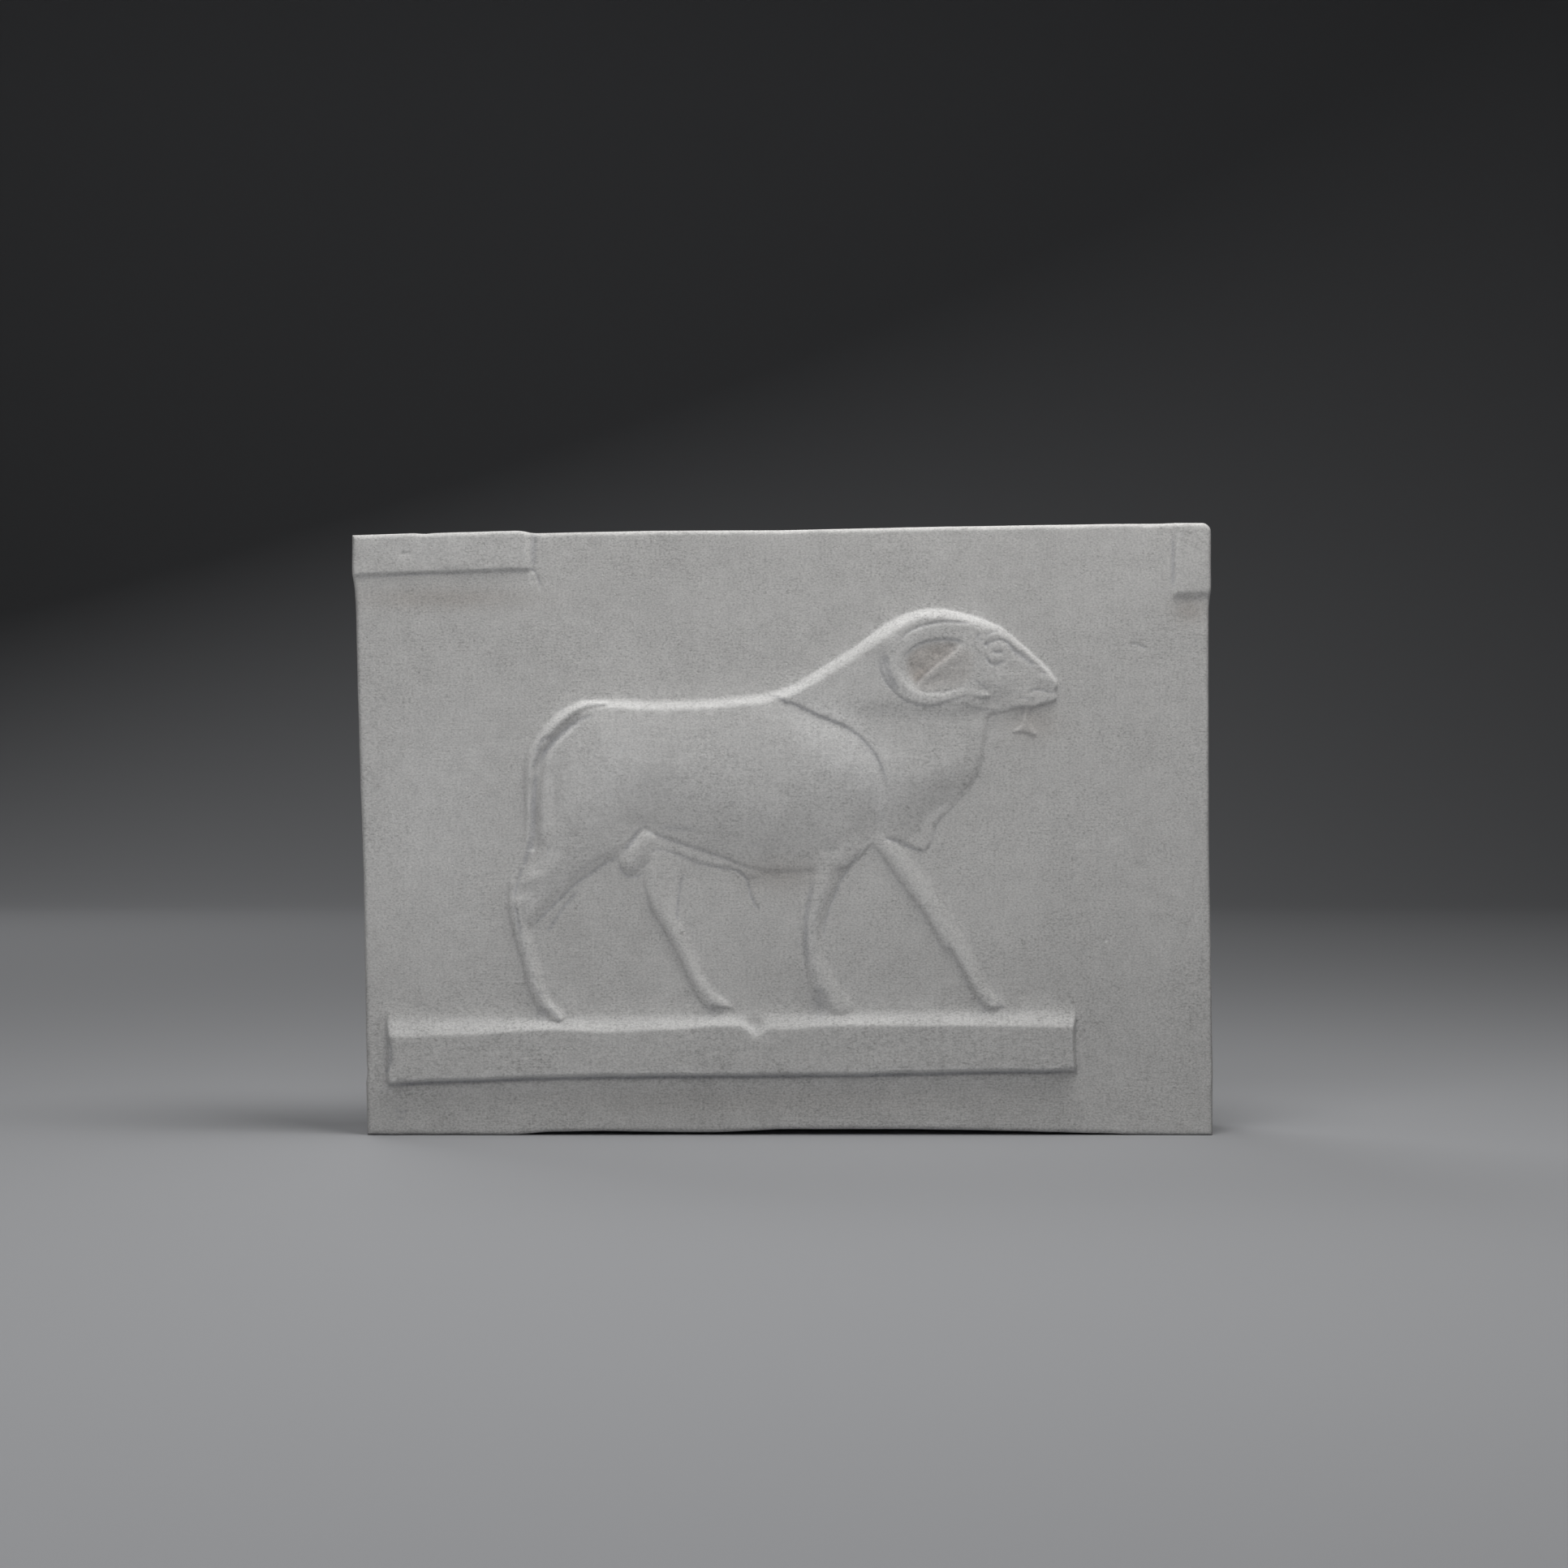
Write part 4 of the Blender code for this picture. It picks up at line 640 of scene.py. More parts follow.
def carve_horn(c):
    outer = [(37.8, 99.8), (35, 100.6), (32.5, 100.7), (30, 100.4), (28, 99.9), (26, 99.1),
             (24, 97.8), (22, 96.6), (20.5, 95.6), (19.7, 94.2), (19.4, 92.7), (19.9, 90.9),
             (21, 88.8), (22.6, 86.9), (24.6, 85.4), (26.5, 84.7), (28.6, 84.3), (30.6, 84.4),
             (32.5, 84.9), (34.3, 85.6), (36.3, 86.1), (38.3, 86), (40, 85.8), (41.4, 86.2)]
    crest = [(38.4, 98.8), (35, 99.8), (32.5, 100), (30, 99.7), (27.5, 98.9), (25, 97.3),
             (23.3, 95.4), (22.5, 93.5), (22.5, 91.5), (23.1, 89.6), (24.4, 88), (26.4, 86.6),
             (28.9, 85.7), (31, 85.7), (33.3, 86.2), (35.6, 86.9), (37.8, 87), (39.6, 86.6),
             (41.4, 86.4)]
    inner = [(37.5, 97.4), (34, 97.6), (31.5, 97.5), (29, 97.1), (27, 96.4), (25.3, 95.1),
             (24.1, 93.5), (23.6, 91.7), (24.2, 89.9), (25.6, 88.3), (27.6, 87.2), (30.2, 86.8),
             (33, 87.1), (35.3, 87.8), (37.5, 87.8), (39.5, 87.1), (41.4, 86.6)]
    tops = (1.5, 1.76, 1.8, 1.84, 1.9, 1.98, 2.08, 2.16, 2.18, 2.14, 2.08, 2.04, 2.0, 1.95, 1.8,
            1.6, 1.4)
    c.ridge(outer, crest, inner, tops, (-0.3, 0.4))
    # A line along the horn's upper side, and one under its outer side.
    top_line = [(23.2, 96.8), (24.8, 98.4), (26.5, 99.4), (28, 100), (30, 100.4), (32, 100.8),
                (34, 100.7), (36, 100.6), (37.4, 100.5)]
    c.cut(top_line, (0.1, 0.2, 0.22, 0.22, 0.22, 0.2), HAIR, fade=0.1)
    c.cut([(19.4, 93.4), (19.9, 90.9), (21, 88.8), (22.6, 86.9), (24.6, 85.4), (26.5, 84.7),
           (28.6, 84.3), (30.6, 84.4), (33, 85.1), (36.3, 86.1), (38, 86)],
          (0.04, 0.07, 0.08, 0.07, 0.06, 0.03), GRAVER)
    # The ear's hollow has a rough floor, and is cut in above and below.
    hollow = [(24.3, 93.6), (25.3, 95.1), (27, 96.4), (29, 97.1), (32, 97.5), (34.5, 97.4),
              (36.2, 96.9), (35.6, 95.9), (34.3, 94.5), (32.8, 93.2), (31, 92), (29.5, 90.8),
              (28, 89.3), (26.7, 87.9), (25.2, 89.4), (24.3, 91.5)]
    rough = EAR_GRAIN * c.grain((0.4, 0.4)) - EAR_DEEP
    c.height += rough * c.field(hollow, 1.7, 0.7)
    c.swell(((28.6, 94), (2.6, 1.3), 25, 0.14))
    c.cut([(24.2, 93.4), (25.4, 95), (27, 96.2), (29, 96.9), (32, 97.3), (34.5, 97.2),
           (36.2, 96.8)],
          (0.05, 0.12, 0.16, 0.18, 0.14), 0.28, fade=0.15)
    c.cut([(35.2, 96.2), (33.2, 94.6), (31.4, 93.1), (29.6, 91.6), (28, 90), (26.5, 88.2)],
          (0.08, 0.18, 0.22, 0.24), CHISEL, fade=0.15)
    # The ear itself, a soft leaf along the hollow's lower edge, and the dip under it.
    c.add([(36.1, 96), (35.5, 94.9), (34.2, 93.7), (32.8, 92.8), (31, 91.8), (29.4, 90.4),
           (28.4, 88.8)],
          (0.08, 0.13, 0.1, 0.05), 1.2)
    c.swell(((32, 89.3), (4.2, 1.3), 12, -0.15))
    # The horn's outer side is hollowed, so that its crest stands out.
    c.cut([(21, 95.2), (20.6, 93.4), (20.6, 91.8), (21.1, 90), (22.3, 88.2),
           (23.9, 86.7)], 0.25, 0.85, fade=0.3)
    # Hairs on the ear and the cheek, and the end of the horn.
    c.add([(28.7, 88.8), (29.6, 89.8), (31.4, 90.9)], 0.07, GRAVER)
    c.cut([(29, 89.2), (30.4, 90), (32.2, 90.3)], 0.08, HAIR)
    c.cut([(33, 92), (34.6, 92.4), (36.1, 93)], 0.08, HAIR)
    c.cut([(26, 88.5), (28, 87.2), (30, 86.9), (33, 87.3), (35, 87.9)], 0.06, GRAVER)
    c.cut([(37.8, 89.3), (39, 88.8), (40, 88), (41.3, 87.1)], 0.1, HAIR)
    # Small chips at the horn's root.
    for x, z, size in ((20.3, 98.2, 0.5), (21.4, 99.3, 0.4), (22.3, 98.4, 0.35), (20.9, 96.8, 0.45),
                       (19.8, 95.9, 0.4), (21.6, 97.9, 0.3)):
        c.swell(((x, z), (size, size * 0.7), 30, -0.08))


# %% Eye, nose, mouth and beard
def carve_face(c):
    # The upper lid's line, which runs on as a fold down the nose.
    fold = [(40.1, 96), (41, 96.6), (42.2, 97.1), (43.5, 97.25), (44.6, 96.8), (45.4, 95.8),
            (46.2, 95), (47.5, 94.2), (49, 93), (50.4, 91.9)]
    c.cut(fold, (0.22, 0.12, 0.13, 0.2, 0.2, 0.16, 0.08), (0.4, 0.26, 0.3, 0.45, 0.5, 0.4),
          fade=0.08)
    # The eyeball, its upper and lower lids, and the corner toward the nose.
    c.swell(((43, 95), (2.0, 2.0), 0, 0.08), ((43.1, 96.1), (1.2, 0.6), -8, 0.09),
            ((42.9, 93.7), (1.3, 0.6), 0, 0.09), ((44.6, 95), (0.5, 0.9), 0, 0.06))
    # The slit, the line under the eye, and the corner toward the ear.
    c.cut([(41.6, 95.4), (42.3, 94.8), (43.1, 94.8), (44.1, 94.6)], 0.2, 0.26, fade=0.3)
    c.cut([(40.5, 94.4), (40.8, 93.3), (41.5, 92.6), (42.5, 92.4), (43.5, 92.9), (44.3, 93.1)],
          (0.18, 0.2, 0.16, 0.1), CHISEL)
    c.cut([(40, 96), (41, 96.5)], 0.18, GOUGE, fade=0.4)
    # The brow, two nicks behind it, and the tear fold.
    c.cut([(40.2, 98), (41, 98.5), (42, 98.8), (43.2, 99.1)], 0.11, HAIR)
    c.add([(40.4, 97.3), (41.8, 98.1), (43.8, 98.3)], 0.05, GOUGE)
    c.cut([(38.5, 97), (38.8, 97.9), (39.4, 98.6)], 0.15, CHISEL, fade=0.3)
    c.cut([(39.2, 96.9), (39.7, 97.5)], 0.15, CHISEL, fade=0.4)
    c.add([(44.8, 93.2), (46, 93.45), (47.1, 93.2)], 0.06, HAIR)
    # The nose with its nostril, the mouth, the lower lip and the jaw.
    c.swell(((52.2, 89.5), (1.8, 1.0), -12, 0.2))
    c.cut([(50.8, 91.2), (51.7, 90.8), (52.9, 90.3)], 0.1, HAIR, fade=0.3)
    c.cut([(48.5, 87), (49.5, 87.4), (50.5, 87.5), (52, 87.3), (53, 87), (54.6, 86.6)],
          (0.08, 0.14, 0.14, 0.1, 0.07), 0.24, fade=0.12)
    c.cut([(46.4, 86.1), (48.6, 85.7), (50.4, 85.3)], 0.1, 0.2)
    c.cut([(37.6, 84.5), (38.4, 83.9), (41.3, 83.4), (43.3, 83.5), (45.1, 84.1), (47.7, 84.4),
           (50.7, 84.4), (52.1, 84.9), (54.4, 85.5)],
          (0.05, 0.07, 0.07, 0.06, 0.05, 0.05, 0.04), HAIR, fade=0.1)


BEARD_LEVEL = 0.36


def carve_beard(c):
    """A small bell of hair under the chin, with a dark hollow on its left."""
    bell = [(47.9, 84.8), (48, 82.6), (47.5, 81), (46.6, 80), (45.5, 79.4), (46.4, 78.9), (48, 79),
            (49.5, 78.4), (50.6, 78.7), (49.8, 80.2), (49.1, 82), (49.3, 84.8)]
    c.lift(BEARD_LEVEL, c.field(bell, 0.6, 0.3))
    c.swell(((46.4, 81.6), (1.0, 1.5), 0, -0.08))
    c.cut([(47.6, 84.3), (47.8, 82.2)], 0.1, GRAVER)
    c.cut([(49.5, 84), (49, 82)], 0.08, HAIR)
    c.cut([(45.2, 79.7), (46, 79), (47.6, 79.1), (48.6, 78.9), (49.6, 78.3)], 0.05, HAIR)


print("horn, ear, eye, nose, mouth and beard")

# %% [markdown]
# ## The raised bars
# The ground bar, the rail and the corner block are what is left of a frame. They are flat fields
# with narrow bevels, so each is the least of a few ramps, one for every side that shows. A chip
# is missing from the middle of the bar's upper edge, and its left end is broken. Such damage is a
# table of small hollows, with a few scratches, and it is made last.

# %% Bars
GROUND_LEFT, GROUND_RIGHT = -76.6, 57.6
GROUND_FACE_TOP = ((-76.6, 19.3), (-64, 19.7), (-51.3, 20.6), (-43.3, 20.9), (-35.3, 20.4),
                   (-25.7, 20.6), (-12.9, 21.6), (-7.5, 21.4), (0, 20.9), (8, 21.5), (14.3, 21.6),
                   (38.3, 21.7), (57.6, 21.4))
GROUND_CREST = ((-76.6, 22.9), (-62, 22.8), (-50, 22.7), (-20, 23.2), (10, 23.8), (57.6, 24.2))
GROUND_FACE_LOW = ((-76.6, 10.5), (-70.5, 10.9), (-60.9, 11.2), (-48, 11.7), (-32, 12.0),
                   (-16, 12.1), (0, 12.2), (16, 12.3), (32, 12.8), (46, 13.0), (57.6, 13.2))
CHIP_AT, CHIP_HALF, CHIP_DEEP = -4.6, 1.6, 1.9
FOOT_SHARE, FOOT_WIDTH = 0.24, 4.4  # the hollow curve that runs on above the bar's crest
RAIL_RIGHT = -49.6
RAIL_LOW = ((-84, 109.4), (-80.5, 109.9), (-73, 110.3), (-64, 110.5), (-50, 110.9))
BLOCK_LEFT, BLOCK_LOW = 77.9, 106.6
GROUND_RISE, RAIL_RISE, BLOCK_RISE = 2.1, 0.62, 0.75
LEFT_BEVEL, RIGHT_BEVEL, LOW_BEVEL = 0.8, 0.7, 0.5  # of the ground bar
RAIL_BEVEL, RAIL_END_OUT, RAIL_END_IN = 0.4, 1.4, 0.6
BLOCK_BEVEL, BLOCK_LOW_BEVEL = 0.6, 1.4
WANDER = 0.12  # how far the bars' edges stray


def carve_bars(c):
    wander = WANDER * c.grain((2.5, 2.5))
    chip = CHIP_DEEP * np.exp(-(((c.x - CHIP_AT) / CHIP_HALF) ** 2))
    face_top = along(c.x, GROUND_FACE_TOP) - chip + wander
    bottom = along(c.x, GROUND_FACE_LOW) + 0.6 * wander
    crest = along(c.x, GROUND_CREST)
    # The upper side slopes evenly to the crest line, and a hollow curve runs on from there.
    slope = 1 - FOOT_SHARE - (1 - FOOT_SHARE) * ramp(c.Z, face_top, crest)
    foot = FOOT_SHARE * (1 - ramp(c.Z, crest, crest + FOOT_WIDTH)) ** 2
    ground = np.minimum.reduce([
        ramp(c.X + wander, GROUND_LEFT - LEFT_BEVEL, GROUND_LEFT),
        ramp(-c.X + wander, -GROUND_RIGHT - RIGHT_BEVEL, -GROUND_RIGHT),
        ramp(c.Z, bottom - LOW_BEVEL, bottom),
        slope + foot,
    ])
    # Wear has softened the crest line, but not the front edge.
    worn = c.blur(ground, (0.2, 0.6))
    ground = worn + (ground - worn) * (1 - ramp(c.Z, crest - 1.6, crest - 0.6))
    rail_low = along(c.x, RAIL_LOW) + 0.5 * wander
    rail_end = ease(-c.X + wander, -RAIL_RIGHT - RAIL_END_OUT, -RAIL_RIGHT + RAIL_END_IN)
    rail = np.minimum(rail_end, ramp(c.Z, rail_low, rail_low + RAIL_BEVEL))
    block = np.minimum(ramp(c.X + wander, BLOCK_LEFT - BLOCK_BEVEL, BLOCK_LEFT),
                       ramp(c.Z + wander, BLOCK_LOW - BLOCK_LOW_BEVEL, BLOCK_LOW))
    for rise, share in ((GROUND_RISE, ground), (RAIL_RISE, rail), (BLOCK_RISE, block)):
        c.lift(rise * share, share > 0)
    # Dust and the chisel have left a thin furrow under each bar.
    stations = (-76, -60, -40, -20, 0, 20, 40, 57)
    under_ground = [(x, along(x, GROUND_FACE_LOW) - 0.6) for x in stations]
    under_rail = [(x, along(x, RAIL_LOW) - 0.15) for x in (-83.5, -72, -60, -50)]
    c.cut(under_ground, 0.25, CHISEL, fade=0.03)
    c.cut(under_rail, (0.05, 0.12, 0.04, 0.1), HAIR, fade=0.03)
    # Beside the rail's end, below the block, and beside it.
    c.cut([(-48.2, 118.4), (-48.3, 115), (-48.4, 111.6)], 0.15, 0.55, fade=0.1)
    c.cut([(77, 105.9), (79, 105.4), (84, 105.1)], 0.06, CHISEL)
    c.cut([(77.3, 118.5), (77.3, 112), (77.3, 107)], 0.14, 0.35)
    c.add([(76.2, 118.5), (76, 112), (75.8, 107)], 0.06, 0.7)


# %% Damage
CHIPS = (
    ((-5.2, 21.9), (2.0, 1.2), -8, -0.5),  # the ground bar's upper edge
    ((-4.5, 20.2), (1.1, 1.0), 0, -0.2),
    ((-76.8, 14.8), (1.0, 2.2), 5, -0.6),  # its broken left end
    ((-76.9, 18.3), (0.9, 1.1), 0, -0.7),
    ((-73.9, 114.2), (0.55, 0.25), 10, -0.25),  # holes in the rail
    ((-72.9, 114.3), (0.35, 0.22), 0, -0.22),
    ((-77.5, 115.8), (0.4, 0.2), 60, -0.12),
    ((-48.6, 110.8), (0.8, 0.5), 25, -0.12),  # crumbs lost under the rail's end
    ((-47.3, 109.4), (0.6, 0.8), 25, -0.12),
    ((-46.9, 107.6), (0.5, 0.7), 25, -0.12),
    ((-48.4, 108.9), (0.4, 0.4), 25, -0.12),
    ((-81.6, 12.2), (0.7, 0.5), 0, -0.3),  # the left edge
    ((-80.6, 93.8), (0.45, 0.35), 0, -0.12),
)
SMALL_PITS = ((62.4, 113.3), (70.5, 84.9), (-59.5, 87.5), (64, 30.2), (75.2, 41.4), (-66.3, 44.1))


def carve_damage(c):
    """Chips, pits, scratches and worn places."""
    c.swell(*CHIPS)
    c.swell(*((place, (0.3, 0.3), 0, -0.1) for place in SMALL_PITS))
    c.cut([(-77.6, 12.4), (-76.6, 13.2), (-76.2, 16.6), (-76.9, 19)], 0.25, CHISEL)
    c.cut([(-49.4, 111.6), (-48.2, 110.9), (-47.5, 109.5), (-46.9, 107.5)], 0.14, GRAVER)
    c.cut([(68.4, 96.6), (70, 96.5), (71.3, 96.0), (72.2, 95.4)], 0.12, GRAVER)
    c.add([(68.6, 95.4), (70.5, 95), (72.4, 95.2)], 0.05, 0.5)
    c.cut([(-75.6, 5.4), (-74.4, 4.4), (-72.8, 5)], 0.14, CHISEL)
    c.cut([(-75.2, 3.4), (-73.6, 3.2)], 0.1, CHISEL)
    c.cut([(-39, 48.6), (-41, 46.4), (-43, 43.9), (-44.6, 41.4), (-46, 39.6)], 0.12, GOUGE)


print("bars:", GROUND_RIGHT - GROUND_LEFT, "mm of ground,", round(84 + RAIL_RIGHT, 1), "mm of rail")

# %% [markdown]
# ## One worn surface
# The strokes are made in the order a carver works, from the farthest form to the nearest. Then
# the whole sheet is softened a little, as plaster is when it leaves a mould: a faint skirt rises
# around every form, and the flat ground is never quite flat. Brush marks run upright down the left
# side, and level everywhere else.

# %% Carve the front
WAVES, RIPPLES, BRUSH, TOOTH = 0.05, 0.012, 0.005, 0.004  # how far each unevenness goes
PIT_DEEP, PIT_FROM, PIT_FULL = 0.08, 3.1, 4.2  # pits are the rare peaks of a fine grain
SKIRT_SHARE, FILLET, SOFTENED = 0.42, 0.18, 0.12


def weather(c):
    """The slow unevenness of the ground, and the brush marks over everything."""
    upright = ease(-c.X, 48, 62)
    level = 1 - upright
    c.height += WAVES * c.grain((11, 8)) + RIPPLES * c.grain((2.2, 1.8))
    c.height += BRUSH * (level * c.grain((1.6, 0.22)) + upright * c.grain((0.22, 1.8)))
    c.height += TOOTH * c.grain((0.3, 0.3))
    c.height -= PIT_DEEP * ramp(c.grain((0.22, 0.22)), PIT_FROM, PIT_FULL)


def carve_front(cell):
    c = Carving(cell)
    for carve in (carve_far_legs, carve_sheath, carve_animal, carve_folds, carve_near_legs,
                  carve_hoofs, carve_tail, carve_horn, carve_face, carve_beard, carve_bars,
                  carve_damage):
        carve(c)
    hollows = np.minimum(c.height, 0)
    forms = np.maximum(c.height, 0)
    skirt = SKIRT_SHARE * c.blur(forms, (2.5, 2.3))
    c.height = soft_max(forms, skirt, FILLET) + hollows
    weather(c)
    c.height = c.blur(c.height, (SOFTENED, SOFTENED))
    c.height *= HIGHEST / c.height.max()
    return c


front = carve_front(CELL)
print("relief from", front.height.min().round(2), "to", front.height.max().round(2), "mm")

# %% [markdown]
# ## The skin
# The carved sheet now becomes the casting's real surface. A box could be subdivided and
# displaced, but its faces would be even everywhere and its rim would stay sharp. Here a fine grid
# is the front, its rim is extruded back in rings for the four sides, and a second grid closes the
# back. All of it is first made as a plain block with places from 0 to 1, and one function then
# puts every vertex where the casting has it.

# %% Block of grids and rings
COLUMNS, ROWS, RINGS = 640, 452, 22


def verts_in(geom):
    return [part for part in geom if isinstance(part, bmesh.types.BMVert)]


def edges_in(geom):
    return [part for part in geom if isinstance(part, bmesh.types.BMEdge)]


def place_number(part):
    """A number that differs for every edge or face: it grows with ring, then height, then width."""
    centre = sum((vert.co for vert in part.verts), Vector()) / len(part.verts)
    return centre.dot((1, 1e3, 1e6))


def plain_block():
    """Front grid at 0, rings at 1 to RINGS, back grid at RINGS + 1, all over the unit square."""
    bm = bmesh.new()
    middle = Vector((0.5, 0.5, 0.0))
    half = 0.5
    front_grid = bmesh.ops.create_grid(bm, x_segments=COLUMNS, y_segments=ROWS, size=half)
    bmesh.ops.translate(bm, verts=front_grid["verts"], vec=middle)
    rim = [edge for edge in bm.edges if edge.is_boundary]
    for _ in range(RINGS):
        made = bmesh.ops.extrude_edge_only(bm, edges=rim)["geom"]
        rim = [edge for edge in edges_in(made) if edge.is_boundary]
        bmesh.ops.translate(bm, verts=verts_in(made), vec=(0, 0, 1))
    back_grid = bmesh.ops.create_grid(bm, x_segments=COLUMNS, y_segments=ROWS, size=half)
    bmesh.ops.translate(bm, verts=back_grid["verts"], vec=middle + Vector((0, 0, RINGS + 1)))
    back_rim = [edge for vert in back_grid["verts"] for edge in vert.link_edges if edge.is_boundary]
    bmesh.ops.bridge_loops(bm, edges=rim + list(dict.fromkeys(back_rim)))
    # Extruding leaves edges and faces in a chance order, and the thinned mesh would follow it.
    for parts in (bm.edges, bm.faces):
        parts.sort(key=place_number)
    return bm


block = plain_block()
open_edges = sum(edge.is_boundary for edge in block.edges)
print("plain block:", len(block.verts), "vertices,", open_edges, "open edges")

# %% [markdown]
# ## Sides and back
# The sides show how the slab was made. They were cut while the plaster was still soft, so they
# are nearly flat, with shallow hollows and a few air holes. The back was struck off with a
# straight edge and stays plain: long shallow sweeps, and small holes where bubbles broke. All of
# it goes inwards from the slab's outline, so that the casting keeps its size.

# %% Put the block in place
SLAB_MIDDLE = (1.0, 59.5)  # x and z that the sides sink toward
SWEEP, BACK_HOLE, HOLLOW, DENT, AIR_HOLE = 0.3, 0.5, 0.5, 0.15, 0.4  # depths on the back and sides


def lattice(places, size, seed):
    """Even chance values from 0 to 1 over space, eased between corners this far apart."""
    cells = np.random.default_rng(seed).random((64, 64, 64))
    at = places / size
    low_corner = np.floor(at).astype(int)
    t = at - low_corner
    t = t * t * (3 - 2 * t)
    total = 0
    for corner in np.ndindex(2, 2, 2):
        weight = np.prod(np.where(corner, t, 1 - t), axis=1)
        index = tuple(((low_corner + corner) % 64).T)
        total = total + cells[index] * weight
    return total


def rounded(inset, radius):
    """How far a face falls back at this distance from a worn edge."""
    gap = np.clip(radius - inset, 0, radius)
    return radius - np.sqrt(radius**2 - gap**2)


def casting(places):
    """Turns places in the plain block into millimetres: x, depth from the foremost plane, z."""
    u, v, ring = places.T
    x, z, inset = slab_place(u, v)
    flat = np.stack([x, z, 0 * x], 1)
    wear = WORN_EDGE * (0.75 + 0.5 * lattice(flat, 4.0, 5))
    face = HIGHEST - front.read(front.height, x, z) + rounded(inset, wear)
    sweep = lattice(np.stack([x * 0.12, z, 0 * x], 1), 7.0, 8)
    holes = ramp(lattice(flat, 2.3, 9), 0.93, 0.99) * (inset > 2)
    rear = DEPTH - SWEEP * sweep - BACK_HOLE * holes - rounded(inset, BACK_EDGE)
    share = np.clip(ring / (RINGS + 1), 0, 1)
    depth = face + (rear - face) * share
    # The sides sink toward the middle of the slab, and not at all at the front and back edges.
    spots = np.stack([x, depth, z], 1)
    sunk = HOLLOW * lattice(spots, 9.0, 3) + DENT * lattice(spots, 2.2, 4)
    sunk = sunk + AIR_HOLE * ramp(lattice(spots, 1.9, 6), 0.92, 0.98)
    sunk = np.where(inset < 0.01, sunk * ease(share * (1 - share), 0, 0.09), 0)
    dx, dz = x - SLAB_MIDDLE[0], z - SLAB_MIDDLE[1]
    lean = sunk / np.maximum(np.hypot(dx, dz), 1)
    return np.stack([x - dx * lean, depth, z - dz * lean], 1)


def plaque_mesh():
    mesh = bpy.data.meshes.new("relief_plaque_skin")
    block.to_mesh(mesh)
    block.free()
    # Each edge's two ends come in a chance order too, so the lower number is put first.
    ends = np.empty(len(mesh.edges) * 2, np.int32)
    mesh.edges.foreach_get("vertices", ends)
    mesh.edges.foreach_set("vertices", np.sort(ends.reshape(-1, 2), axis=1).ravel())
    places = np.empty(len(mesh.vertices) * 3, np.float32)
    mesh.vertices.foreach_get("co", places)
    spots = casting(places.reshape(-1, 3).astype(float))
    centre = (low.x + high.x) / 2 - (spots[:, 0].min() + spots[:, 0].max()) / 2 * MM
    world = spots * MM + np.array([centre, low.y, low.z])
    world = np.clip(world, np.array(low), np.array(high))
    mesh.vertices.foreach_set("co", world.astype(np.float32).ravel())
    mesh.update()
    return mesh, centre


fine_mesh, CENTRE = plaque_mesh()
print("fine mesh:", len(fine_mesh.polygons), "faces, set", round(CENTRE / MM, 2), "mm to the side")

# %% [markdown]
# ## Fewer triangles where nothing happens
# Flat plaster needs few triangles and a cut line needs many. A collapsing decimate takes them
# from where the surface is flattest, and the carving keeps its edges. Its result is made the
# piece's own mesh, so nothing is left to work out later.

# %% Thin the mesh
MOST_TRIANGLES = 190_000


def thinned(mesh):
    rough = show("rough", mesh)
    decimate = rough.modifiers.new("Thin", "DECIMATE")
    mesh.calc_loop_triangles()
    decimate.ratio = MOST_TRIANGLES / len(mesh.loop_triangles)
    decimate.use_collapse_triangulate = True
    graph = bpy.context.evaluated_depsgraph_get()
    made = bpy.data.meshes.new_from_object(rough.evaluated_get(graph))
    bpy.data.objects.remove(rough)
    bm = bmesh.new()
    bm.from_mesh(made)
    bmesh.ops.recalc_face_normals(bm, faces=bm.faces)
    volume = round(bm.calc_volume(signed=True) / MM**3)
    print("thinned to", len(bm.faces), "faces, volume", volume, "mm3")
    bm.to_mesh(made)
    bm.free()
    return made


plaque = show("relief_plaque_cast", thinned(fine_mesh))
plaque.data.shade_smooth()

# %% [markdown]
# ## What has settled on it, and painted light and shade
# Old plaster isn't one white. Grey dust lies in the creases, and painted shade darkens them, the
# hollows and the backs of the hoofs. The hollow of the ear is stained brown, painted brown shadow
# lies under the rail, chin, belly and ground bar, and a painted grey shade darkens the lower and
# right parts and the ground behind the legs. Raised edges are paler where rubbed, with painted
# highlights on what faces up. A pattern in the material can't know where the creases are, so they
# are measured from the carved sheet and written on the mesh as attributes.

# %% Crease, stain, rub and painted light maps
EAR_FIELD = [(24.5, 93.5), (26, 95.5), (29, 96.8), (33, 97.2), (36, 96.6), (33.5, 93.6), (30, 91),
             (26.8, 88.3), (25, 90)]
CHEEK_FIELD = [(26, 90.5), (30, 93), (36, 96.5), (38.5, 94), (38, 90), (36, 88), (30, 86.6),
               (26.6, 87)]
STAINS_AND_SHADOWS = (
    ((-66, 105.5), (15, 2.2), 0, 0.45),  # painted shadow under the rail
    ((80.5, 103), (3.2, 2.4), 0, 0.5),  # a stain under the block
    ((50, 81), (5, 3.2), 0, 0.35),  # painted shadow under the chin
    ((0, 51), (8, 3.5), 0, 0.3),  # painted shadow under the belly
    ((-2, 6.5), (50, 3), 0, 0.15),  # painted shadow under the ground bar
)
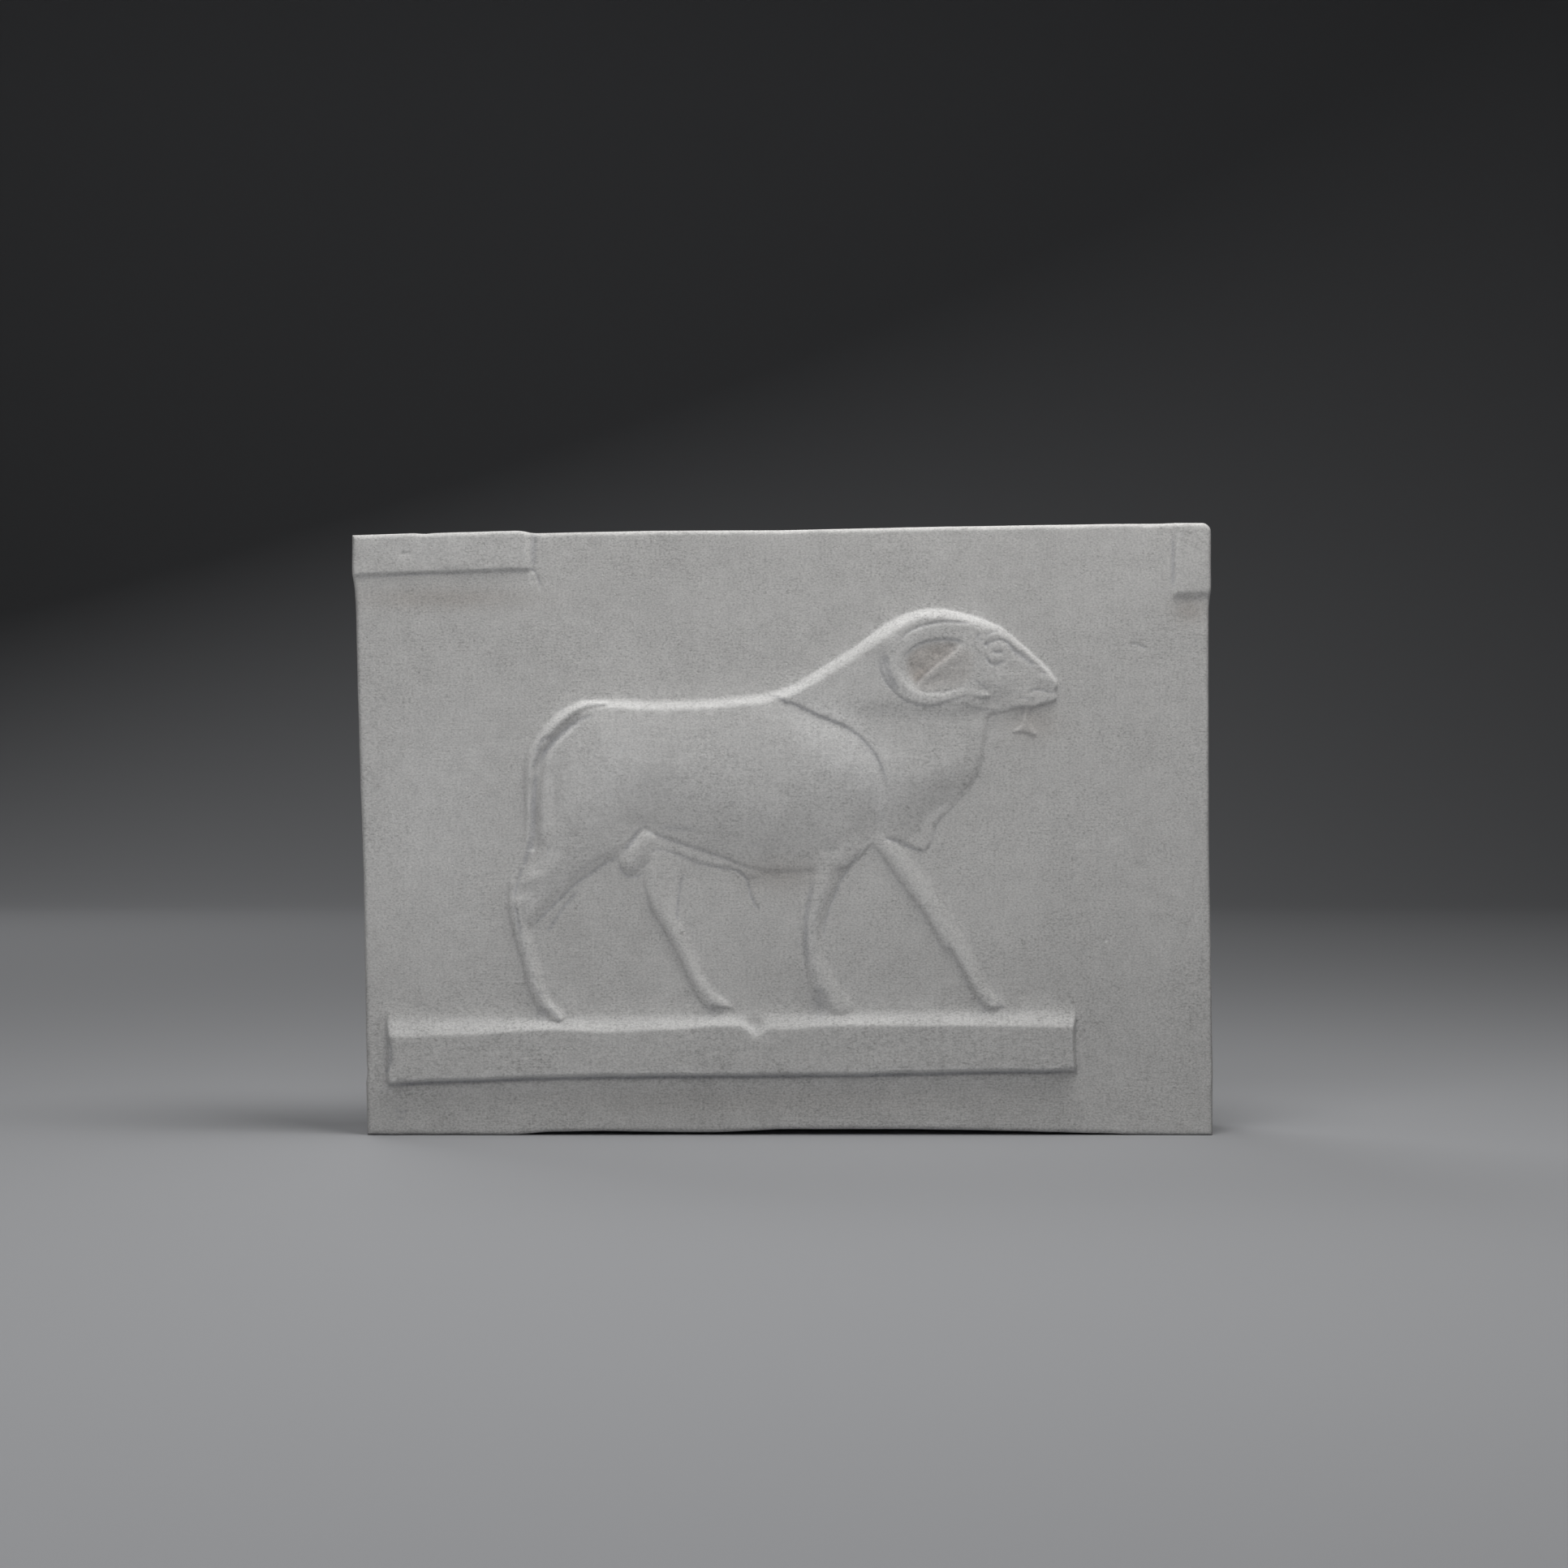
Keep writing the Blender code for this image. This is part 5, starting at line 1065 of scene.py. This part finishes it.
# Painted light and highlights, each as its centre, radii, turn and rise.
PAINTED_LIGHT_PLACES = (
    ((-68, 66), (13, 22), 0, 0.5),  # painted light left of the ram
    ((-67, 116), (20, 4), 0, 0.5),  # painted light on the rail
    ((12, 77), (11, 5), -42, 1.1),  # painted highlight on the shoulder
    ((20, 64), (1.2, 5), 0, 0.6),
    ((-31, 75), (3, 8), -25, 0.3),  # painted highlight on the hip
)
SHADES_BEHIND_LEGS = (
    ((-16, 30), (1.8, 7), 32, 0.5),
    ((-51, 30), (1.6, 7), 14, 0.4),
    ((4.3, 27), (1.5, 6), 5, 0.35),
    ((38, 26), (2, 4), 30, 0.35),
    ((-42, 40), (3, 4), -40, 0.3),
)
SHADES = (
    ((-36, 38), (12, 11), 0, 0.28),  # between the hind legs
    ((51, 98.5), (8, 3.2), -42, 0.35),  # over the nose
    ((58, 86), (5, 8), 0, 0.2),  # before the mouth
)
# Painted shade on the shaded side behind each hoof.
SHADED_HEELS = (
    ((7.8, 25.4), (1.5, 2.7), 0, 0.5),
    ((-13, 24.6), (1.6, 1.5), 0, 0.35),
    ((-46.7, 24), (1.2, 1.2), 0, 0.45),
    ((40, 24.3), (1.4, 1.2), -30, 0.3),
)


def dust_and_shade_map(c):
    """Dust and painted shade: darker in what is lower than its surroundings, near and far, in the
    cut lines, and painted shade behind the hoofs.
    """
    creases = ramp(c.blur(c.height, (0.45, 0.45)) - c.height, 0.02, 0.3)
    broad = ramp(c.blur(c.height, (2.2, 2.2)) - c.height, 0.05, 1.3)
    return 0.22 * creases + 0.22 * broad + 0.55 * c.dirt_and_shade + c.mounds(*SHADED_HEELS)


def stain_and_shade_map(c):
    # Brown stain in the ear's hollow and under the block, a darker cheek below the ear, and painted
    # brown shadow under the rail, chin, belly and ground bar.
    return 0.6 * c.mask(EAR_FIELD, 0.8) + 0.3 * c.mask(CHEEK_FIELD, 0.8) + c.mounds(*STAINS_AND_SHADOWS)


def wear_and_highlight_map(c):
    """Paler where forms stand out and on the legs, with painted highlight on what faces up, on high
    forms, on the bar's upper left, and in the listed places.
    """
    stands_out = ramp(c.height - c.blur(c.height, (0.7, 0.7)), 0.04, 0.35)
    # Painted highlight on what faces up.
    facing_up = ramp(-np.gradient(c.blur(c.height, (0.4, 0.4)), c.cell, axis=0), 0.12, 0.6)
    high = 0.45 * ramp(c.height, 0.5, 1.8) * ramp(c.Z, 52, 66)
    bar_left = 0.5 * facing_up * (1 - ramp(c.Z, 22, 26)) * (1 - ramp(c.X, -60, 20))
    legs = 0.35 * ramp(c.height, 0.5, 0.95) * (1 - ramp(c.Z, 48, 58)) * ramp(c.Z, 23, 28)
    return high + 0.5 * stands_out + 0.9 * facing_up + c.mounds(*PAINTED_LIGHT_PLACES) + bar_left + legs


def shade_map(c):
    """Painted shade: darker low down and to the right, over the upper ground, under the ground bar,
    behind the legs and in the listed places.
    """
    lower = 1 - ramp(c.Z, 2, 48)
    right = (0.25 + 0.3 * lower) * ramp(c.X, -30, 70) * (1 - ramp(c.Z, 80, 100))
    ground = 1 - ramp(c.height, 0.25, 0.5)
    top = 0.4 * ramp(c.Z, 90, 112) * (1 - ramp(c.X, 20, 60)) * ground
    foot = 0.35 * (1 - ramp(c.Z, 7, 10.5))
    behind_legs = c.mounds(*SHADES_BEHIND_LEGS) * (1 - ramp(c.height, 0.15, 0.4))
    return 0.75 * lower + right + top + foot + behind_legs + c.mounds(*SHADES)


def front_maps(c):
    makers = {"dust_and_shade": dust_and_shade_map, "stain_and_shade": stain_and_shade_map, "wear_and_highlight": wear_and_highlight_map, "shade": shade_map}
    return {name: np.clip(make(c), 0, 1) for name, make in makers.items()}


def write_attributes(mesh):
    world = np.empty(len(mesh.vertices) * 3, np.float32)
    mesh.vertices.foreach_get("co", world)
    spots = (world.reshape(-1, 3) - np.array([CENTRE, low.y, low.z])) / MM
    x, depth, z = spots.T
    is_front = ease(-depth, -(HIGHEST + 1.2), -(HIGHEST + 0.7))
    for name, values in front_maps(front).items():
        written = mesh.attributes.new(name, "FLOAT", "POINT")
        written.data.foreach_set("value", (front.read(values, x, z) * is_front).astype(np.float32))
    written = mesh.attributes.new("front", "FLOAT", "POINT")
    written.data.foreach_set("value", is_front.astype(np.float32))


write_attributes(plaque.data)
print("attributes:", [a.name for a in plaque.data.attributes if a.data_type == "FLOAT"])

# %% [markdown]
# ## Working out a finish
# A material is worked out as sums and products of a few patterns. Written with nodes alone that is
# hard to read, so a small class lets Python's own signs stand for Math nodes, and one method adds
# any other node.

# %% Wires and nodes
class Wire:
    """A socket of a material. Arithmetic on wires adds Math nodes."""

    def __init__(self, finish, socket):
        self.finish = finish
        self.socket = socket

    def math(self, operation, *values):
        return self.finish.node("ShaderNodeMath", {"operation": operation}, dict(enumerate(values)))

    def __add__(self, other):
        return self.math("ADD", self, other)

    def __sub__(self, other):
        return self.math("SUBTRACT", self, other)

    def __rsub__(self, other):
        return self.math("SUBTRACT", other, self)

    def __mul__(self, other):
        return self.math("MULTIPLY", self, other)

    __radd__ = __add__
    __rmul__ = __mul__


class Finish:
    """One material, with its Principled shader ready."""

    def __init__(self, name):
        self.material = bpy.data.materials.new(name)
        self.material.use_nodes = True
        self.tree = self.material.node_tree
        self.shader = self.tree.nodes["Principled BSDF"]

    def put(self, node, sockets):
        for key, value in sockets.items():
            if isinstance(value, Wire):
                self.tree.links.new(value.socket, node.inputs[key])
            else:
                node.inputs[key].default_value = value

    def node(self, kind, settings=None, sockets=None, out=0):
        made = self.tree.nodes.new(kind)
        for key, value in (settings or {}).items():
            setattr(made, key, value)
        self.put(made, sockets or {})
        return Wire(self, made.outputs[out])

    def mix(self, share, first, second):
        sockets = {0: share, 6: first, 7: second}
        return self.node("ShaderNodeMix", {"data_type": "RGBA"}, sockets, out=2)

    def scale(self, colour, by):
        return self.node("ShaderNodeVectorMath", {"operation": "SCALE"}, {0: colour, 3: by})

    def between(self, value, start, end):
        sockets = {0: value, 1: start, 2: end}
        return self.node("ShaderNodeMapRange", {"interpolation_type": "SMOOTHSTEP"}, sockets)

    def noise(self, size_mm, stretch=(1, 1, 1), detail=2.0):
        """Soft noise from about 0.25 to 0.75, in lumps of this size, drawn out by the stretch."""
        at = self.node("ShaderNodeTexCoord", out="Object")
        scale = [1 / (size_mm * MM * times) for times in stretch]
        placed = {"Vector": at, "Scale": scale}
        at = self.node("ShaderNodeMapping", {"vector_type": "POINT"}, placed)
        return self.node("ShaderNodeTexNoise", {}, {"Vector": at, "Scale": 1.0, "Detail": detail})

    def attribute(self, name):
        return self.node("ShaderNodeAttribute", {"attribute_name": name}, {}, out="Fac")


print("finishes are made of wires and nodes")

# %% [markdown]
# ## Old plaster
# Plaster is matt and nearly white, and it takes up dirt unevenly. The finish has slow clouds, level
# brush marks where a thin wash of dirt was wiped over it, fine dark grain, blue-grey dust with
# painted shade in the creases, brown stain in the deepest hollow with painted brown shadow under
# the rail, ground bar, chin and belly, a painted grey shade, and paler rubbed edges with painted
# highlights. The bump holds only what is too fine for the mesh: tooth and pinholes.

# %% The plaster
CLEAN = (0.700, 0.692, 0.678, 1)
LIT_AND_RUBBED = (0.785, 0.780, 0.770, 1)
# The blue-grey of dust and of painted shade.
SHADE_AND_DUST = (0.400, 0.408, 0.440, 1)
BROWN = (0.430, 0.370, 0.325, 1)


def plaster():
    f = Finish("plaster")
    dust_and_shade, stain_and_shade, wear_and_highlight = map(f.attribute, ("dust_and_shade", "stain_and_shade", "wear_and_highlight"))
    shade, is_front = map(f.attribute, ("shade", "front"))
    # Slow unevenness of tone.
    clouds = f.noise(22, detail=3.0) - 0.5
    mottle = f.noise(3.0, detail=3.0) - 0.5
    # Brush marks: level ones where a wash was wiped on, and upright ones.
    level = f.noise(0.35, (14, 14, 1), 2.0) - 0.5
    upright = f.noise(0.35, (1, 14, 14), 2.0) - 0.5
    wiped = f.between(f.noise(14, (2, 1, 1)), 0.42, 0.62)
    # Dark grain and specks, denser in some patches.
    grain = f.between(f.noise(0.38, (1.6, 1, 1), 1.0), 0.48, 0.70)
    specks = f.between(f.noise(0.75, (1.3, 1, 1), 2.0), 0.54, 0.72)
    patches = 0.55 + 0.45 * f.between(f.noise(7, (1.6, 1, 1), 3.0), 0.38, 0.6)
    fine = f.between(f.noise(0.3, (1.5, 1, 1), 1.0), 0.35, 0.65) - 0.5
    brushed = 0.3 * level * wiped * is_front + 0.14 * upright
    # The shade map adds painted shade to the dark grain.
    dark = (0.19 * grain + 0.13 * specks) * patches + 0.15 * shade
    tone = 1.06 + 0.2 * clouds + 0.22 * mottle + brushed + 0.17 * fine - dark
    ragged = 0.595 + 0.765 * (f.noise(1.2, detail=3.0) - 0.5)
    # Paler where rubbed, with painted highlights on what faces up and in the listed places.
    colour = f.mix(wear_and_highlight, CLEAN, LIT_AND_RUBBED)
    # Blue-grey dust, with painted shade in the creases, the hollows and behind the hoofs.
    colour = f.mix(dust_and_shade * ragged, colour, SHADE_AND_DUST)
    # Brown stain, with painted brown shadow under the rail, chin, belly and ground bar.
    colour = f.mix(stain_and_shade * (0.75 + 0.5 * mottle), colour, BROWN)
    tooth = 0.012 * f.noise(0.5, detail=2.0) + 0.008 * f.noise(0.22, detail=1.0)
    pinholes = f.between(f.noise(0.55, detail=0.0), 0.73, 0.80)
    bump = {"Strength": 1.0, "Distance": MM}
    bump["Height"] = tooth - 0.04 * pinholes + 0.012 * level * wiped
    f.put(f.shader, {
        "Base Color": f.scale(colour, tone),
        "Roughness": 0.88 + 0.12 * mottle - 0.06 * wear_and_highlight,
        "Normal": f.node("ShaderNodeBump", {}, bump, out="Normal"),
        "Specular IOR Level": 0.3,
    })
    return f.material


plaque.data.materials.clear()
plaque.data.materials.append(plaster())
print("plaster has", len(plaque.data.materials[0].node_tree.nodes), "nodes")

# %% [markdown]
# ## Floor, light and camera
# The casting stands on a plain pale floor that sweeps up behind it. Relief needs a light that
# grazes it: a soft key almost overhead, a little to the right and in front, whose light runs down
# the face. A weak fill from the front opens the shadows, and a third light is for the back. The
# camera stands straight in front.

# %% Floor
FLOOR_HALF, FLOOR_NEAR, FLOOR_FAR = 3, 2.5, 1.1  # metres
SWEEP_RADIUS, WALL_HIGH = 0.6, 2


def floor_sheet():
    bm = bmesh.new()
    near = [bm.verts.new((x, -FLOOR_NEAR, low.z)) for x in (-FLOOR_HALF, FLOOR_HALF)]
    made = bmesh.ops.extrude_edge_only(bm, edges=[bm.edges.new(near)])["geom"]
    ends = verts_in(made)
    bmesh.ops.translate(bm, verts=ends, vec=(0, FLOOR_NEAR + FLOOR_FAR, 0))
    centre = (0, FLOOR_FAR, low.z + SWEEP_RADIUS)
    far = bm.edges.get(ends)
    swept = bmesh.ops.spin(bm, geom=ends + [far], cent=centre, axis=(1, 0, 0), dvec=(0, 0, 0),
                           angle=np.pi / 2, steps=24)["geom_last"]
    made = bmesh.ops.extrude_edge_only(bm, edges=edges_in(swept))["geom"]
    bmesh.ops.translate(bm, verts=verts_in(made), vec=(0, 0, WALL_HIGH))
    mesh = bpy.data.meshes.new("floor")
    bm.to_mesh(mesh)
    bm.free()
    return show("floor", mesh)


floor = floor_sheet()
floor.data.shade_smooth()
paper = Finish("floor_paper")
paper.put(paper.shader, {
    "Base Color": (0.38, 0.385, 0.40, 1),
    "Roughness": 0.9,
    "Specular IOR Level": 0.2,
})
floor.data.materials.append(paper.material)
print("floor:", [round(n, 2) for n in floor.dimensions], "m")

# %% Lights
AIM = Vector((0, 0, 0.06))
WHITE, WARM = (1, 1, 1), (1, 0.995, 0.985)
LIGHTS = {  # place, size, irradiance, colour
    "key": ((0.08, -0.08, 0.46), 0.2, 0.68, WARM),
    "front": ((-0.10, -0.45, 0.42), 0.3, 0.27, WHITE),
    "back": ((-0.5, 0.9, 0.9), 0.7, 0.25, WHITE),
}
SURROUND = 0.01


def area_light(name, place, size, irradiance, colour):
    """A square light that gives this irradiance where it is aimed."""
    data = bpy.data.lights.new(name, "AREA")
    data.size = size
    data.color = colour
    reach = (Vector(place) - AIM).length
    data.energy = irradiance * np.pi**2 * reach**2
    light = show(name, data)
    light.location = place
    light.rotation_euler = (AIM - Vector(place)).to_track_quat("-Z", "Y").to_euler()
    light.visible_camera = False


for name, settings in LIGHTS.items():
    area_light(name, *settings)
world = bpy.data.worlds.new("studio")
world.use_nodes = True
background = world.node_tree.nodes["Background"]
background.inputs["Color"].default_value = (*WHITE, 1)
background.inputs["Strength"].default_value = SURROUND
bpy.context.scene.world = world
bpy.context.scene.view_settings.view_transform = "Standard"
print(len(LIGHTS), "lights and an even surround")

# %% Camera
LENS, SENSOR = 70, 36
CAMERA_PLACE = (0.00028, -0.60875, 0.069)  # straight in front, a little above the middle

camera = show("camera", bpy.data.cameras.new("camera"))
camera.data.lens = LENS
camera.data.sensor_width = SENSOR
camera.location = CAMERA_PLACE
camera.rotation_euler = (np.pi / 2, 0, 0)
bpy.context.scene.camera = camera
print("camera", -CAMERA_PLACE[1], "m away, with a", LENS, "mm lens")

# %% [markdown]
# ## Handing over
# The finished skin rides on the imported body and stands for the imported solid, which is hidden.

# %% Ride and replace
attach(plaque, "root")
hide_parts("relief_plaque")
